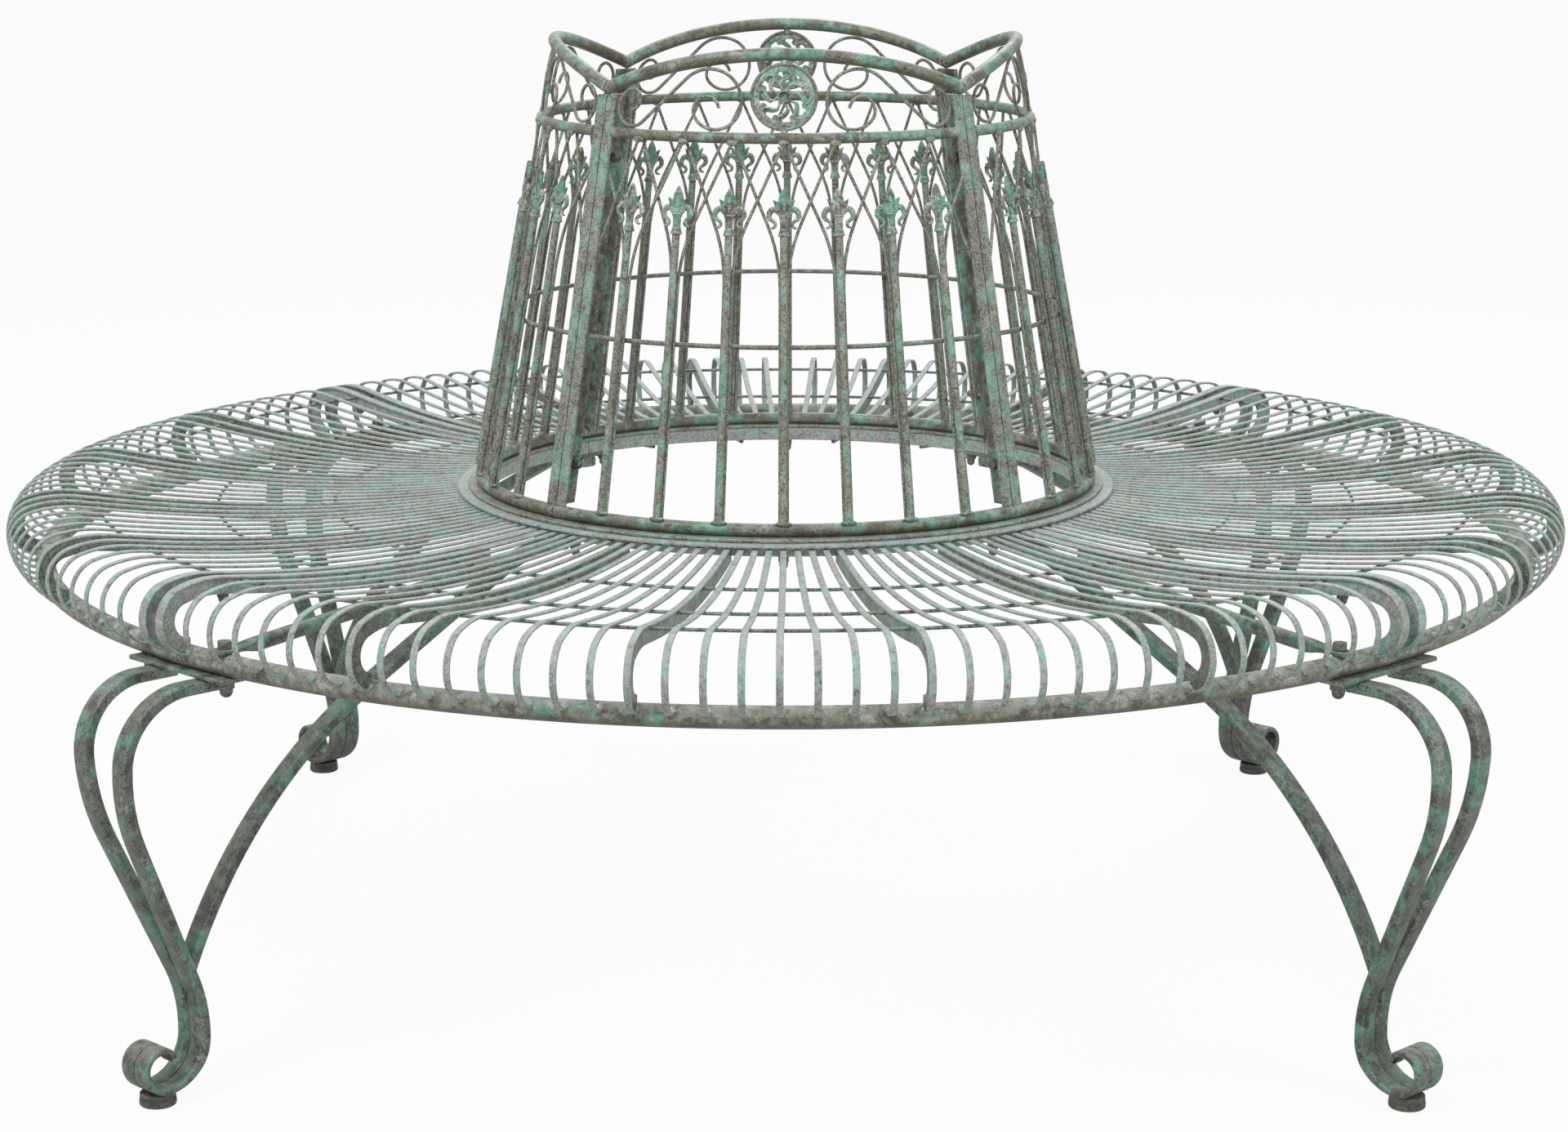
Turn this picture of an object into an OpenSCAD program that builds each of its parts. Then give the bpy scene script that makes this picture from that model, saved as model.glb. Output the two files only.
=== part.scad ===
// Round tree bench in four quarters: a slatted ring seat on four scrolled
// legs, with a tapered cage of four back panels round the trunk space.
// Lengths in millimetres, Z up, floor at Z = 0, front quarter towards -Y.

/* [Legs and feet] */
// Radius from the trunk axis to the centre of each foot pad
pad_r = 757.5; // [735:0.5:775]
// Diameter of each foot pad
pad_d = 32; // [24:1:44]
// Height of each foot pad
pad_h = 12; // [6:1:20]
// Thickness of the leg and brace bar, in the plane of the leg
bar_t = 10.4; // [7:0.1:12]
// Width of the leg and brace bar
bar_w = 18.2; // [12:0.1:20]
// Edge rounding of the leg and brace bar
bar_round = 2.6; // [0.5:0.1:3.4]
// Thickness of the bar where it is rolled into the foot scroll
scroll_bar_t = 6; // [4:0.5:8]
// Angle by which each leg bar leans away from its twin above the weld
leg_splay = 5.3; // [3:0.1:9]
// Radius of the leg bend on top of the foot pad
foot_bend_r = 40; // [36:1:50]
// Radius of the leg bend at the narrow belly
belly_bend_r = 132; // [120:1:160]
// Radius of the long curve on the outside of the leg
side_bend_r = 181; // [150:1:230]
// Radius of the shoulder that turns the leg in under the rim
shoulder_bend_r = 59.6; // [54:0.2:72]
// Length of the plate that joins two quarters over a leg
leg_plate_l = 134; // [126:1:150]
// Width of the plate that joins two quarters over a leg
leg_plate_w = 25; // [20:1:32]
// Thickness of the plate that joins two quarters over a leg
leg_plate_t = 4; // [3:0.5:6]

/* [Brace] */
// Radius of the bend where the brace leaves the ring plate
brace_top_bend_r = 118; // [100:2:160]
// Slope of the straight middle of the brace, in degrees
brace_slope = 27.2; // [25:0.1:30]
// Length of the straight middle of the brace
brace_straight = 175; // [160:1:190]
// Radius of the long bend down to the leg
brace_low_bend_r = 443; // [420:1:470]
// Distance from the centre of the pad in to where the brace's curve ends
brace_foot_off = 4.1; // [2:0.1:8]

/* [Seat] */
// Radius of the lowest circle of the seat dish
low_r = 440; // [420:1:460]
// Height of the slat centreline at the lowest circle
low_z = 433.9; // [425:0.5:445]
// Radius of curvature of the dished part of a slat
dish_bend_r = 1473; // [1400:10:1600]
// Rise angle where the dish turns into the straight part, in degrees
dish_slope = 8; // [7:0.25:9]
// Length of the straight part of a slat before its crest
slat_straight = 35.7; // [30:0.5:40]
// Radius of curvature of the crest of a slat
crest_bend_r = 110; // [100:1:120]
// Turn of the crest before the slat rolls over the rim, in degrees
crest_turn = 23; // [20:0.5:25]
// Radius of curvature of the roll at the outer edge
roll_bend_r = 29.5; // [28:0.5:31]
// Radius where the slats end under the flange of the inner ring
slat_in_r = 309; // [307:0.5:314]
// Thickness of a slat
slat_t = 2.25; // [2:0.25:4]
// Width of a slat
slat_w = 6; // [4:0.5:9]
// Number of slats each side of the middle slat of a quarter
slats_each_side = 18; // [16:1:18]
// Angle between neighbouring slats, in degrees
slat_pitch = 2.2968; // [2.25:0.01:2.3]
// Width of the wide strip at each end of a quarter
end_strip_w = 10; // [8:0.5:11]
// Distance from the joint plane to the line of the end strip
end_strip_off = 3.4; // [3:0.1:5]
// Turn of the end strip away from the joint plane, in degrees
end_strip_turn = 0.666; // [0.6:0.02:0.9]
// Depth of the rib bars under the seat
rib_h = 13.5; // [11:0.5:15]
// Thickness of the rib bars under the seat
rib_t = 4; // [3:0.5:5]
// Radius where the rib bars start beside the inner ring
rib_in_r = 306; // [305:0.5:309]
// Radius where the end rib bars start, clear of the brace
end_rib_in_r = 385; // [380:1:400]
// Diameter of the hoop wires under the slats
hoop_d = 3.2; // [2.5:0.1:4]

/* [Seat rim and inner ring] */
// Radius of the centre of the rim tube
rim_r = 712; // [710:0.5:714]
// Height of the centre of the rim tube
rim_z = 389.5; // [388:0.5:391]
// Diameter of the rim tube
rim_d = 19; // [16:0.5:21]
// Wall of the rim tube
rim_wall = 2; // [1.5:0.25:3]
// Inner radius of the inner ring
ring_r = 290; // [286:0.5:292]
// Width of the inner ring without its flange
ring_w = 14; // [12:0.5:14]
// Height of the underside of the inner ring
ring_z = 431.5; // [430:0.5:432]
// Height of the inner ring
ring_h = 13; // [12:0.5:14]
// Width of the flange over the slat ends
flange_w = 15.3; // [13:0.1:17]
// Thickness of the flange over the slat ends
flange_t = 3; // [2:0.25:3.5]
// Thickness of the small plate that joins two inner rings over a brace
ring_plate_t = 2.5; // [2:0.25:4]
// Diameter of the straight ties from the rim to the inner ring
tie_d = 13; // [10:0.5:13.5]
// Height of the tie centre at the inner ring
tie_in_z = 431; // [428:0.5:431.5]
// Thickness of the flattened tie end on the rim
tie_lug_t = 4; // [3:0.5:5]

/* [Back cage] */
// Radius of the cage at the base height
cage_base_r = 297; // [294:0.5:299]
// Inward lean of the cage, in degrees
cage_lean = 10.476; // [9.5:0.1:11.5]
// Thickness of the flat strip under the bottom rail
strip_t = 3.2; // [2.5:0.1:4]
// Width of the flat strip under the bottom rail
strip_w = 20; // [16:0.5:24]
// Diameter of the bottom rail and of the arch on top
rail_d = 12; // [10:0.5:14]
// Diameter of the upper rail
upper_rail_d = 10; // [8:0.5:11]
// Height of the centre of the upper rail
upper_rail_z = 798.6; // [790:0.5:806]
// Height of the arch centre at the posts
arch_end_z = 838; // [832:0.5:844]
// Height of the arch centre at the middle of a panel
arch_top_z = 872.3; // [868:0.5:878]
// Height of the hoop wire round the uprights
mid_hoop_z = 614.6; // [560:0.5:650]
// Diameter of the hoop wire round the uprights
mid_hoop_d = 4.5; // [3:0.1:6]
// Width of the outward face of a post angle
post_w = 12; // [10:0.5:14]
// Depth of the radial flange of a post angle
post_depth = 21; // [18:0.5:24]
// Thickness of a post angle
post_t = 3; // [2:0.25:4]
// Height of the upper bolt through each pair of posts
post_bolt_high_z = 774.6; // [740:0.5:780]
// Height of the lower bolt through each pair of posts
post_bolt_low_z = 496; // [480:0.5:540]

/* [Uprights and lattice] */
// Uprights each side of the middle upright of a panel
uprights_each_side = 3; // [3:1:3]
// Angle between neighbouring uprights, in degrees
upright_pitch = 11.25; // [10.8:0.05:11.3]
// Diameter of the upright rod that carries the finial
upright_d = 7; // [5:0.5:8]
// Height where the upright rod meets its finial
finial_z = 713; // [700:0.5:720]
// Diameter of the lattice wires
wire_d = 3; // [2.2:0.1:3.2]
// Distance of each lattice wire from the middle of its upright
wire_side = 3.4; // [3.2:0.1:4]
// Height where the lattice wires bend away from the upright
split_z = 666; // [655:0.5:675]
// Bend radius of the lattice wires
wire_bend_r = 150; // [135:1:165]
// Height where the outermost lattice wire meets the post
post_wire_z = 762; // [750:0.5:770]
// Height where the short lattice wire leaves the post
short_wire_z = 686; // [670:0.5:700]
// Radial offset that lets crossing wires pass each other
wire_pass = 3.3; // [3.3:0.05:3.5]

/* [Ornament] */
// Overall height of a finial above its upright
finial_h = 43.6; // [38:0.2:50]
// Overall width of a finial across its curled arms
finial_w = 32.6; // [28:0.2:34]
// Thickness of the flat body of a finial
finial_t = 3.4; // [3:0.1:4]
// Height of the centre of the rosette
rosette_z = 835; // [833:0.5:837]
// Outer diameter of the wire ring round the rosette
rosette_d = 61.4; // [56:0.2:62]
// Diameter of the wire of that ring
rosette_wire_d = 4.5; // [3:0.1:5]
// Number of curved spokes in the rosette
rosette_spokes = 8; // [6:1:12]
// Diameter of the scroll wires
scroll_d = 3.2; // [2.4:0.1:3.3]

/* [Fasteners] */
// Shank diameter of the rim bolts
rim_bolt_d = 8; // [6:0.5:9]
// Angle from each joint to its rim bolts, in degrees
rim_bolt_angle = 4.3; // [4:0.05:4.6]
// Shank diameter of the ring studs
stud_d = 6; // [5:0.5:6.5]
// Angle from each joint to the nearest ring studs, in degrees
stud_angle = 4.8; // [4.6:0.05:5.2]
// Shank diameter of the post bolts
post_bolt_d = 5; // [4:0.5:6]
// Radius of the bolt that ties two end ribs together
tab_r = 672; // [666:1:680]
// Shank diameter of the bolt that ties two end ribs together
tab_bolt_d = 6; // [5:0.5:7]
// Length of the tabs between two end ribs
tab_l = 20; // [16:0.5:24]
// Thickness of the tabs between two end ribs
tab_t = 3; // [2:0.25:4]

/* [Hidden] */
// Quarters, counted anticlockwise from the front one
QUARTERS = ["front", "right", "back", "left"];
// Legs, each named for the corner where it stands
LEGS = ["front_right", "back_right", "back_left", "front_left"];
PER_QUARTER = [
    "seat_rim", "seat_ring", "seat_slats", "seat_ribs", "seat_end_ribs",
    "back_posts", "back_rails", "back_uprights", "back_lattice", "back_scrolls", "back_finials"
];
SINGLE = [
    "seat_hoops", "back_hoops", "rosettes", "leg_braces", "seat_ties", "leg_plates",
    "ring_plates", "foot_pads", "seat_tabs", "bolts", "nuts"
];

// Gap left at a weld, and gap between bolted quarters
weld = 0.2;
joint_gap = 0.5;
twin_gap = 0.6;
// Facets of the preview for small and for large circles
$fn = 72;
large_fn = 240;
quarter = 90;
half_quarter = quarter / 2;

// Colours of the weathered paint
slat_green = "#98a79d";
ring_green = "#7d9c90";
bar_green = "#66756b";
cage_green = "#7c8579";
cast_green = "#5f9a86";
bolt_brown = "#4c4c40";

// Points and heights of the slat centreline, worked out from its bends.
// Inside its lowest circle a slat rises to seat its end under the flange.
slat_gap = 0.25;
slat_in_rise = ring_z + ring_h - flange_t - slat_gap - slat_t / 2 - low_z;
slat_in_turn = 2 * atan(slat_in_rise / (low_r - slat_in_r));
slat_in_bend_r = (low_r - slat_in_r) / sin(slat_in_turn);
dish_end_r = low_r + dish_bend_r * sin(dish_slope);
dish_end_z = low_z + dish_bend_r * (1 - cos(dish_slope));
crest_start_r = dish_end_r + slat_straight * cos(dish_slope);
crest_start_z = dish_end_z + slat_straight * sin(dish_slope);
crest_c_r = crest_start_r + crest_bend_r * sin(dish_slope);
crest_c_z = crest_start_z - crest_bend_r * cos(dish_slope);
roll_start_a = 90 + dish_slope - crest_turn;
roll_c_r = crest_c_r + (crest_bend_r - roll_bend_r) * cos(roll_start_a);
roll_c_z = crest_c_z + (crest_bend_r - roll_bend_r) * sin(roll_start_a);
function slat_z(r) =
    r < low_r
    ? low_z + slat_in_bend_r - sign(slat_in_rise) * sqrt(pow(slat_in_bend_r, 2) - pow(r - low_r, 2))
    : r < dish_end_r
    ? low_z + dish_bend_r - sqrt(pow(dish_bend_r, 2) - pow(r - low_r, 2))
    : dish_end_z + (r - dish_end_r) * tan(dish_slope);
hoop_drop = slat_t / 2 + weld + hoop_d / 2;
function hoop_z(r) = slat_z(r) - hoop_drop / cos(dish_slope);
HOOP_RADII = [low_r - 2, (low_r + dish_end_r) / 2 + 6.5, dish_end_r + 17];
RIB_SLATS = [-12, -4, 4, 12];

// Heights stacked from the inner ring up, and down from the rim
ring_top = ring_z + ring_h;
strip_z = ring_top + weld;
bottom_rail_z = strip_z + strip_t + weld + rail_d / 2;
bottom_rail_r = ring_r + ring_w / 2 - 1;
strip_r = bottom_rail_r + 3 - strip_w / 2;
leg_plate_z = rim_z - rim_d / 2 - weld - leg_plate_t;
ring_plate_z = ring_z - weld - ring_plate_t;
stud_r = ring_r + ring_w / 2;
post_z = bottom_rail_z + rail_d / 2 + weld;
post_top_z = arch_end_z - rail_d / 2 * 1.05 - weld;

// Radius of the cage surface at a height
base_z = 454.2;
function cage_r(z) = cage_base_r - (z - base_z) * tan(cage_lean);
upright_off = 4.4;
wire_off = 0.5;
post_face_off = 2;
post_bolt_off = -12.5;
function mid_hoop_r() = cage_r(mid_hoop_z) + wire_off - (wire_d + mid_hoop_d) / 2 / cos(cage_lean) - weld;
function post_edge_angle(r) = asin((joint_gap + post_w + weld) / r);

// Arch: part of a circle in a leaning plane through the cage surface
arch_end = cage_r(arch_end_z) / sqrt(2);
arch_run = cage_r(arch_top_z) - arch_end;
arch_climb = arch_top_z - arch_end_z;
arch_rise = sqrt(pow(arch_run, 2) + pow(arch_climb, 2));
arch_bend_r = (pow(arch_end, 2) + pow(arch_rise, 2)) / (2 * arch_rise);
arch_lean = atan2(arch_climb, arch_run);

// Leg path: bends as radius, first heading and last heading, in degrees.
// Headings are measured from outward, and 90 is up.
belly_heading = 92.3;
weld_heading = 66.6;
side_heading = 90;
LEG_LOW = [[foot_bend_r, 180, belly_heading], [belly_bend_r, belly_heading, weld_heading]];
LEG_TOP_BENDS = [[side_bend_r, weld_heading, side_heading], [shoulder_bend_r, side_heading, 180]];
FOOT_SCROLL = [[21, 0, 90], [16, 90, 180], [12.5, 180, 262]];
leg_start = [pad_r, pad_h + weld + scroll_bar_t / 2];
leg_weld_at = path_end(leg_start, LEG_LOW);
leg_top_side = (bar_w / 2 - bar_round) * sin(leg_splay);
leg_top_rise = (leg_plate_z - weld - leg_weld_at[1] - leg_top_side) / cos(leg_splay) - bar_t / 2;
leg_bend_rise = path_end([0, 0], LEG_TOP_BENDS)[1];
leg_straight = (leg_top_rise - leg_bend_rise) / sin(weld_heading);
leg_shoulder_r = leg_weld_at[0] + leg_straight * cos(weld_heading) + path_end([0, 0], LEG_TOP_BENDS)[0];
leg_tail = leg_shoulder_r - (rim_r - leg_plate_w / 2 + 4);
LEG_TOP = concat([[leg_straight, weld_heading, weld_heading]], LEG_TOP_BENDS, [[leg_tail, 180, 180]]);

// Brace path, from the ring plate outwards and down to the leg
brace_start = [ring_r, ring_plate_z - weld - bar_t / 2];
brace_low_heading = -80;
belly_centre = path_end(leg_start, LEG_LOW, 1) + belly_bend_r * [sin(belly_heading), -cos(belly_heading)];
BRACE_BENDS = [
    [brace_top_bend_r, 0, -brace_slope],
    [brace_straight, -brace_slope, -brace_slope],
    [brace_low_bend_r, -brace_slope, brace_low_heading]
];
brace_flat = pad_r - brace_foot_off - ring_r - path_end([0, 0], BRACE_BENDS)[0];
BRACE = concat([[brace_flat, 0, 0]], BRACE_BENDS);

// Scroll wire on the unrolled cage: start, then bends as radius, first and last heading
scroll_unroll_r = 229;
scroll_start = [-149, 820];
SCROLL = [
    [9.4, 0, 200], [16.9, 200, 403], [58.4, 403, 403],
    [33.7, 403, 336], [28.4, 336, 259], [23.5, 259, 127], [12.2, 127, -79]
];

// End point of one path piece: a bend, or a straight where both headings agree
function piece_end(p, s) =
    s[1] == s[2]
    ? p + s[0] * [cos(s[1]), sin(s[1])]
    : let (side = sign(s[2] - s[1]))
      p + side * s[0] * [sin(s[2]) - sin(s[1]), cos(s[1]) - cos(s[2])];
// End point after the first count pieces of a path
function path_end(p, path, count = undef, i = 0) =
    i >= (is_undef(count) ? len(path) : count) ? p : path_end(piece_end(p, path[i]), path, count, i + 1);
// First part of a path piece, as a share of its length
function share(s, f) = s[1] == s[2] ? [s[0] * f, s[1], s[2]] : [s[0], s[1], s[1] + (s[2] - s[1]) * f];
// Number of chords of a bend that stay within a sag of it
function chords(s, sag) = s[1] == s[2] ? 1 : ceil(abs(s[2] - s[1]) / (2 * acos(1 - sag / s[0])));
// Points along a path, each with its heading
function trace(p, path, sag) = concat(
    [[p[0], p[1], path[0][1]]],
    [
        for (i = [0:len(path) - 1])
            let (start = path_end(p, path, i), n = chords(path[i], sag))
            for (k = [1:n])
                let (part = share(path[i], k / n), q = piece_end(start, part))
                [q[0], q[1], part[2]]
    ]
);
// The same points walked the other way
function backwards(points) = [for (i = [len(points) - 1:-1:0]) points[i] + [0, 0, 180]];
function normal_of(q) = [-sin(q[2]), cos(q[2])];

// Turns a quarter's part from outward along X to its own side
module at_quarter(q) {
    rotate([0, 0, quarter * q - 90]) children();
}
// Turns a part from outward along X to joint k, right of quarter k
module at_joint(k) {
    rotate([0, 0, quarter * k - half_quarter]) children();
}

// Flat band between two radii and two angles
module band(r0, r1, a0, a1) {
    reach = r1 * 1.5;
    mid = (a0 + a1) / 2;
    intersection() {
        difference() {
            circle(r = r1);
            circle(r = r0);
        }
        polygon([
            [0, 0],
            reach * [cos(a0), sin(a0)],
            reach * 1.2 * [cos((a0 + mid) / 2), sin((a0 + mid) / 2)],
            reach * 1.2 * [cos(mid), sin(mid)],
            reach * 1.2 * [cos((a1 + mid) / 2), sin((a1 + mid) / 2)],
            reach * [cos(a1), sin(a1)]
        ]);
    }
}

// Round bar bent about the trunk axis
module bent_bar(r, z, d, half_angle, bore = 0) {
    rotate([0, 0, -half_angle])
        rotate_extrude(angle = 2 * half_angle, $fn = large_fn)
            translate([r, z])
                difference() {
                    circle(d = d);
                    if (bore > 0)
                        circle(d = bore);
                }
}

// Straight round rod between two points
module rod(p0, p1, d) {
    v = p1 - p0;
    length = norm(v);
    translate(p0)
        rotate([0, acos(v[2] / length), atan2(v[1], v[0])])
            cylinder(d = d, h = length);
}

// Solid skin through rings of points, each ring anticlockwise about its way forward
module skin(rings) {
    n = len(rings[0]);
    last = len(rings) - 1;
    walls = [
        for (i = [0:last - 1])
            for (j = [0:n - 1])
                let (a = i * n + j, b = i * n + (j + 1) % n)
                [a + n, b + n, b, a]
    ];
    ends = [[for (j = [0:n - 1]) j], [for (j = [n - 1:-1:0]) last * n + j]];
    polyhedron([for (ring = rings) for (p = ring) p], concat(walls, ends));
}

// Ring of a bar: a rectangle with cut corners, t along u and w along v
function bar_ring(p, u, v, t, w) =
    let (cut = min(bar_round, t * 0.35), a = t / 2, b = w / 2)
    [
        for (c = [
            [a, cut - b], [a, b - cut], [a - cut, b], [cut - a, b],
            [-a, b - cut], [-a, cut - b], [cut - a, -b], [a - cut, -b]
        ])
            p + c[0] * u + c[1] * v
    ];
// Ring of a round wire
wire_sides = 6;
function wire_ring(p, u, v, d) =
    [for (j = [0:wire_sides - 1]) p + d / 2 * (cos(j * 360 / wire_sides) * u + sin(j * 360 / wire_sides) * v)];
// Turns a vector about the X axis
function lean(v, a) = [v[0], v[1] * cos(a) - v[2] * sin(a), v[1] * sin(a) + v[2] * cos(a)];

// One leg bar from the tip of its foot scroll to the plate, in the XY plane.
// Above the weld it leans away from its twin.
bar_sag = 0.5;
leg_points = concat(
    backwards(trace(leg_start, FOOT_SCROLL, bar_sag)),
    [for (q = trace(leg_start, concat(LEG_LOW, LEG_TOP), bar_sag)) if (q[0] != leg_start[0]) q]
);
function leg_thickness(q) =
    scroll_bar_t + (bar_t - scroll_bar_t) * min(1, (q[1] - leg_start[1]) / foot_bend_r * 2);
module leg_bar(side) {
    last_scroll = len(trace(leg_start, FOOT_SCROLL, bar_sag)) - 1;
    skin([
        for (i = [0:len(leg_points) - 1])
            let (
                q = leg_points[i],
                n = normal_of(q),
                up = q[1] - leg_weld_at[1],
                a = side * leg_splay * (up < -weld ? 0 : up < weld ? 0.5 : 1),
                t = i <= last_scroll ? scroll_bar_t : leg_thickness(q)
            )
            bar_ring(
                [0, leg_weld_at[1], side * (bar_w + twin_gap) / 2] + lean([q[0], up, 0], a),
                lean([n[0], n[1], 0], a),
                lean([0, 0, 1], a),
                t,
                bar_w
            )
    ]);
}

// One leg: two bars side by side, welded at the belly and spread at the top
module leg(k) {
    color(bar_green)
        at_joint(k)
            rotate([90, 0, 0])
                for (side = [-1, 1])
                    leg_bar(side);
}

// Round foot pad under each leg
module foot_pads() {
    edge = 2;
    color(bolt_brown)
        for (k = [0:3])
            at_joint(k)
                translate([pad_r, 0, 0])
                    rotate_extrude()
                        polygon([
                            [0, 0], [pad_d / 2 - edge, 0], [pad_d / 2, edge],
                            [pad_d / 2, pad_h], [0, pad_h]
                        ]);
}

// Curved brace from each leg to the inner ring, cut where it meets the leg
leg_clear = bar_t / 2 + weld;
module leg_braces() {
    color(bar_green)
        for (k = [0:3])
            at_joint(k)
                rotate([90, 0, 0])
                    difference() {
                        skin([
                            for (q = trace(brace_start, BRACE, bar_sag))
                                let (n = normal_of(q))
                                bar_ring([q[0], q[1], 0], [n[0], n[1], 0], [0, 0, 1], bar_t, bar_w)
                        ]);
                        translate(concat(belly_centre, -bar_w))
                            cylinder(r = belly_bend_r + leg_clear, h = 2 * bar_w, $fn = large_fn);
                        translate(concat(leg_weld_at, -bar_w))
                            rotate(weld_heading)
                                translate([0, leg_clear - 3 * bar_t, 0])
                                    cube([leg_straight, 3 * bar_t, 2 * bar_w]);
                    }
}

// Flat plate under the rim that straddles a joint and carries the leg
module leg_plates() {
    hole_side = rim_r * tan(rim_bolt_angle);
    color(bar_green)
        for (k = [0:3])
            at_joint(k)
                difference() {
                    translate([rim_r - leg_plate_w / 2, -leg_plate_l / 2, leg_plate_z])
                        cube([leg_plate_w, leg_plate_l, leg_plate_t]);
                    for (side = [-1, 1])
                        at_rim_bolt(side)
                            translate([0, 0, leg_plate_z - 1])
                                cylinder(d = rim_bolt_d + 2 * weld, h = leg_plate_t + 2);
                }
}
module at_rim_bolt(side) {
    rotate([0, 0, side * rim_bolt_angle]) translate([rim_r, 0, 0]) children();
}

// Small curved plate under the inner ring that straddles a joint
module ring_plates() {
    half_angle = stud_angle + 1.1;
    color(bar_green)
        for (k = [0:3])
            at_joint(k)
                difference() {
                    rotate([0, 0, -half_angle])
                        rotate_extrude(angle = 2 * half_angle, $fn = large_fn)
                            translate([ring_r, ring_plate_z])
                                square([ring_w, ring_plate_t]);
                    for (side = [-1, 1])
                        rotate([0, 0, side * stud_angle])
                            translate([stud_r, 0, ring_plate_z - 1])
                                cylinder(d = stud_d + 2 * weld, h = ring_plate_t + 2);
                }
}

// Rim tube of one seat quarter, drilled for its two bolts
module seat_rim(q) {
    half_angle = half_quarter - asin(joint_gap / rim_r);
    color(ring_green)
        at_quarter(q)
            difference() {
                bent_bar(rim_r, rim_z, rim_d, half_angle, rim_d - 2 * rim_wall);
                for (side = [-1, 1])
                    rotate([0, 0, side * (half_quarter - rim_bolt_angle)])
                        translate([rim_r, 0, rim_z - rim_d])
                            cylinder(d = rim_bolt_d + 2 * weld, h = 2 * rim_d);
            }
}

// Inner ring of one seat quarter, with the flange that hides the slat ends
module seat_ring(q) {
    half_angle = half_quarter - asin(joint_gap / ring_r);
    color(ring_green)
        at_quarter(q)
            difference() {
                rotate([0, 0, -half_angle])
                    rotate_extrude(angle = 2 * half_angle, $fn = large_fn) {
                        translate([ring_r, ring_z])
                            square([ring_w, ring_h]);
                        translate([ring_r, ring_top - flange_t])
                            square([ring_w + flange_w, flange_t]);
                    }
                for (a = stud_angles())
                    rotate([0, 0, a])
                        translate([stud_r, 0, ring_z - 1])
                            cylinder(d = stud_d + 2 * weld, h = ring_h + 2);
            }
}
function stud_angles() = [-(half_quarter - stud_angle), 0, half_quarter - stud_angle];

// Outline that follows the slat centreline, from one depth below it to another
slat_sag = 0.65;
function in_heading(r) = -asin((low_r - r) / slat_in_bend_r);
function slat_path(in_r) = [
    [abs(slat_in_bend_r), in_heading(in_r), 0],
    [dish_bend_r, 0, dish_slope],
    [slat_straight, dish_slope, dish_slope],
    [crest_bend_r, dish_slope, dish_slope - crest_turn],
    [roll_bend_r, dish_slope - crest_turn, -180]
];
module profile_band(lo, hi, in_r) {
    points = trace([in_r, slat_z(in_r)], slat_path(in_r), slat_sag);
    last = len(points) - 1;
    polygon(concat(
        [for (q = points) [q[0], q[1]] - lo * normal_of(q)],
        [for (i = [last:-1:0]) [points[i][0], points[i][1]] - hi * normal_of(points[i])]
    ));
}

// Slat outline, cut where it is welded to the rim tube
module slat_outline() {
    difference() {
        profile_band(-slat_t / 2, slat_t / 2, slat_in_r);
        translate([rim_r, rim_z])
            circle(d = rim_d + 2 * weld);
    }
}

// Rib outline under a slat, notched from above for the hoop wires
notch_w = hoop_d + 3 * weld;
module rib_outline(in_r) {
    difference() {
        profile_band(slat_t / 2 + weld, slat_t / 2 + weld + rib_h, in_r);
        translate([rim_r, rim_z])
            circle(d = rim_d + 2 * weld);
        for (r = HOOP_RADII)
            translate([r, hoop_z(r)]) {
                circle(d = notch_w);
                translate([-notch_w / 2, 0])
                    square([notch_w, hoop_d + weld]);
            }
    }
}

module seat_slats(q) {
    color(slat_green)
        at_quarter(q)
            for (i = [-slats_each_side:slats_each_side])
                rotate([90, 0, i * slat_pitch])
                    translate([0, 0, -slat_w / 2])
                        linear_extrude(slat_w)
                            slat_outline();
}

module seat_ribs(q) {
    color(bar_green)
        at_quarter(q)
            for (i = RIB_SLATS)
                rotate([90, 0, i * slat_pitch])
                    translate([0, 0, -rib_t / 2])
                        linear_extrude(rib_t)
                            rib_outline(rib_in_r);
}

// Places a flat outline beside a joint, on the line of the end strip
module at_end_strip(side) {
    rotate([0, 0, side * half_quarter])
        translate([0, -side * end_strip_off, 0])
            rotate([90, 0, -side * end_strip_turn])
                children();
}

// Wide end strip and its rib, at both ends of a quarter
module seat_end_ribs(q) {
    color(slat_green)
        at_quarter(q)
            for (side = [-1, 1])
                at_end_strip(side) {
                    translate([0, 0, -end_strip_w / 2])
                        linear_extrude(end_strip_w)
                            slat_outline();
                    translate([0, 0, -rib_t / 2])
                        linear_extrude(rib_t)
                            rib_outline(end_rib_in_r);
                }
}

// Three hoop wires under the slats of each quarter
module seat_hoops() {
    color(bar_green)
        for (q = [0:3])
            at_quarter(q)
                for (r = HOOP_RADII)
                    bent_bar(r, hoop_z(r), hoop_d, half_quarter - asin((end_strip_off + 2) / r));
}

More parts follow.
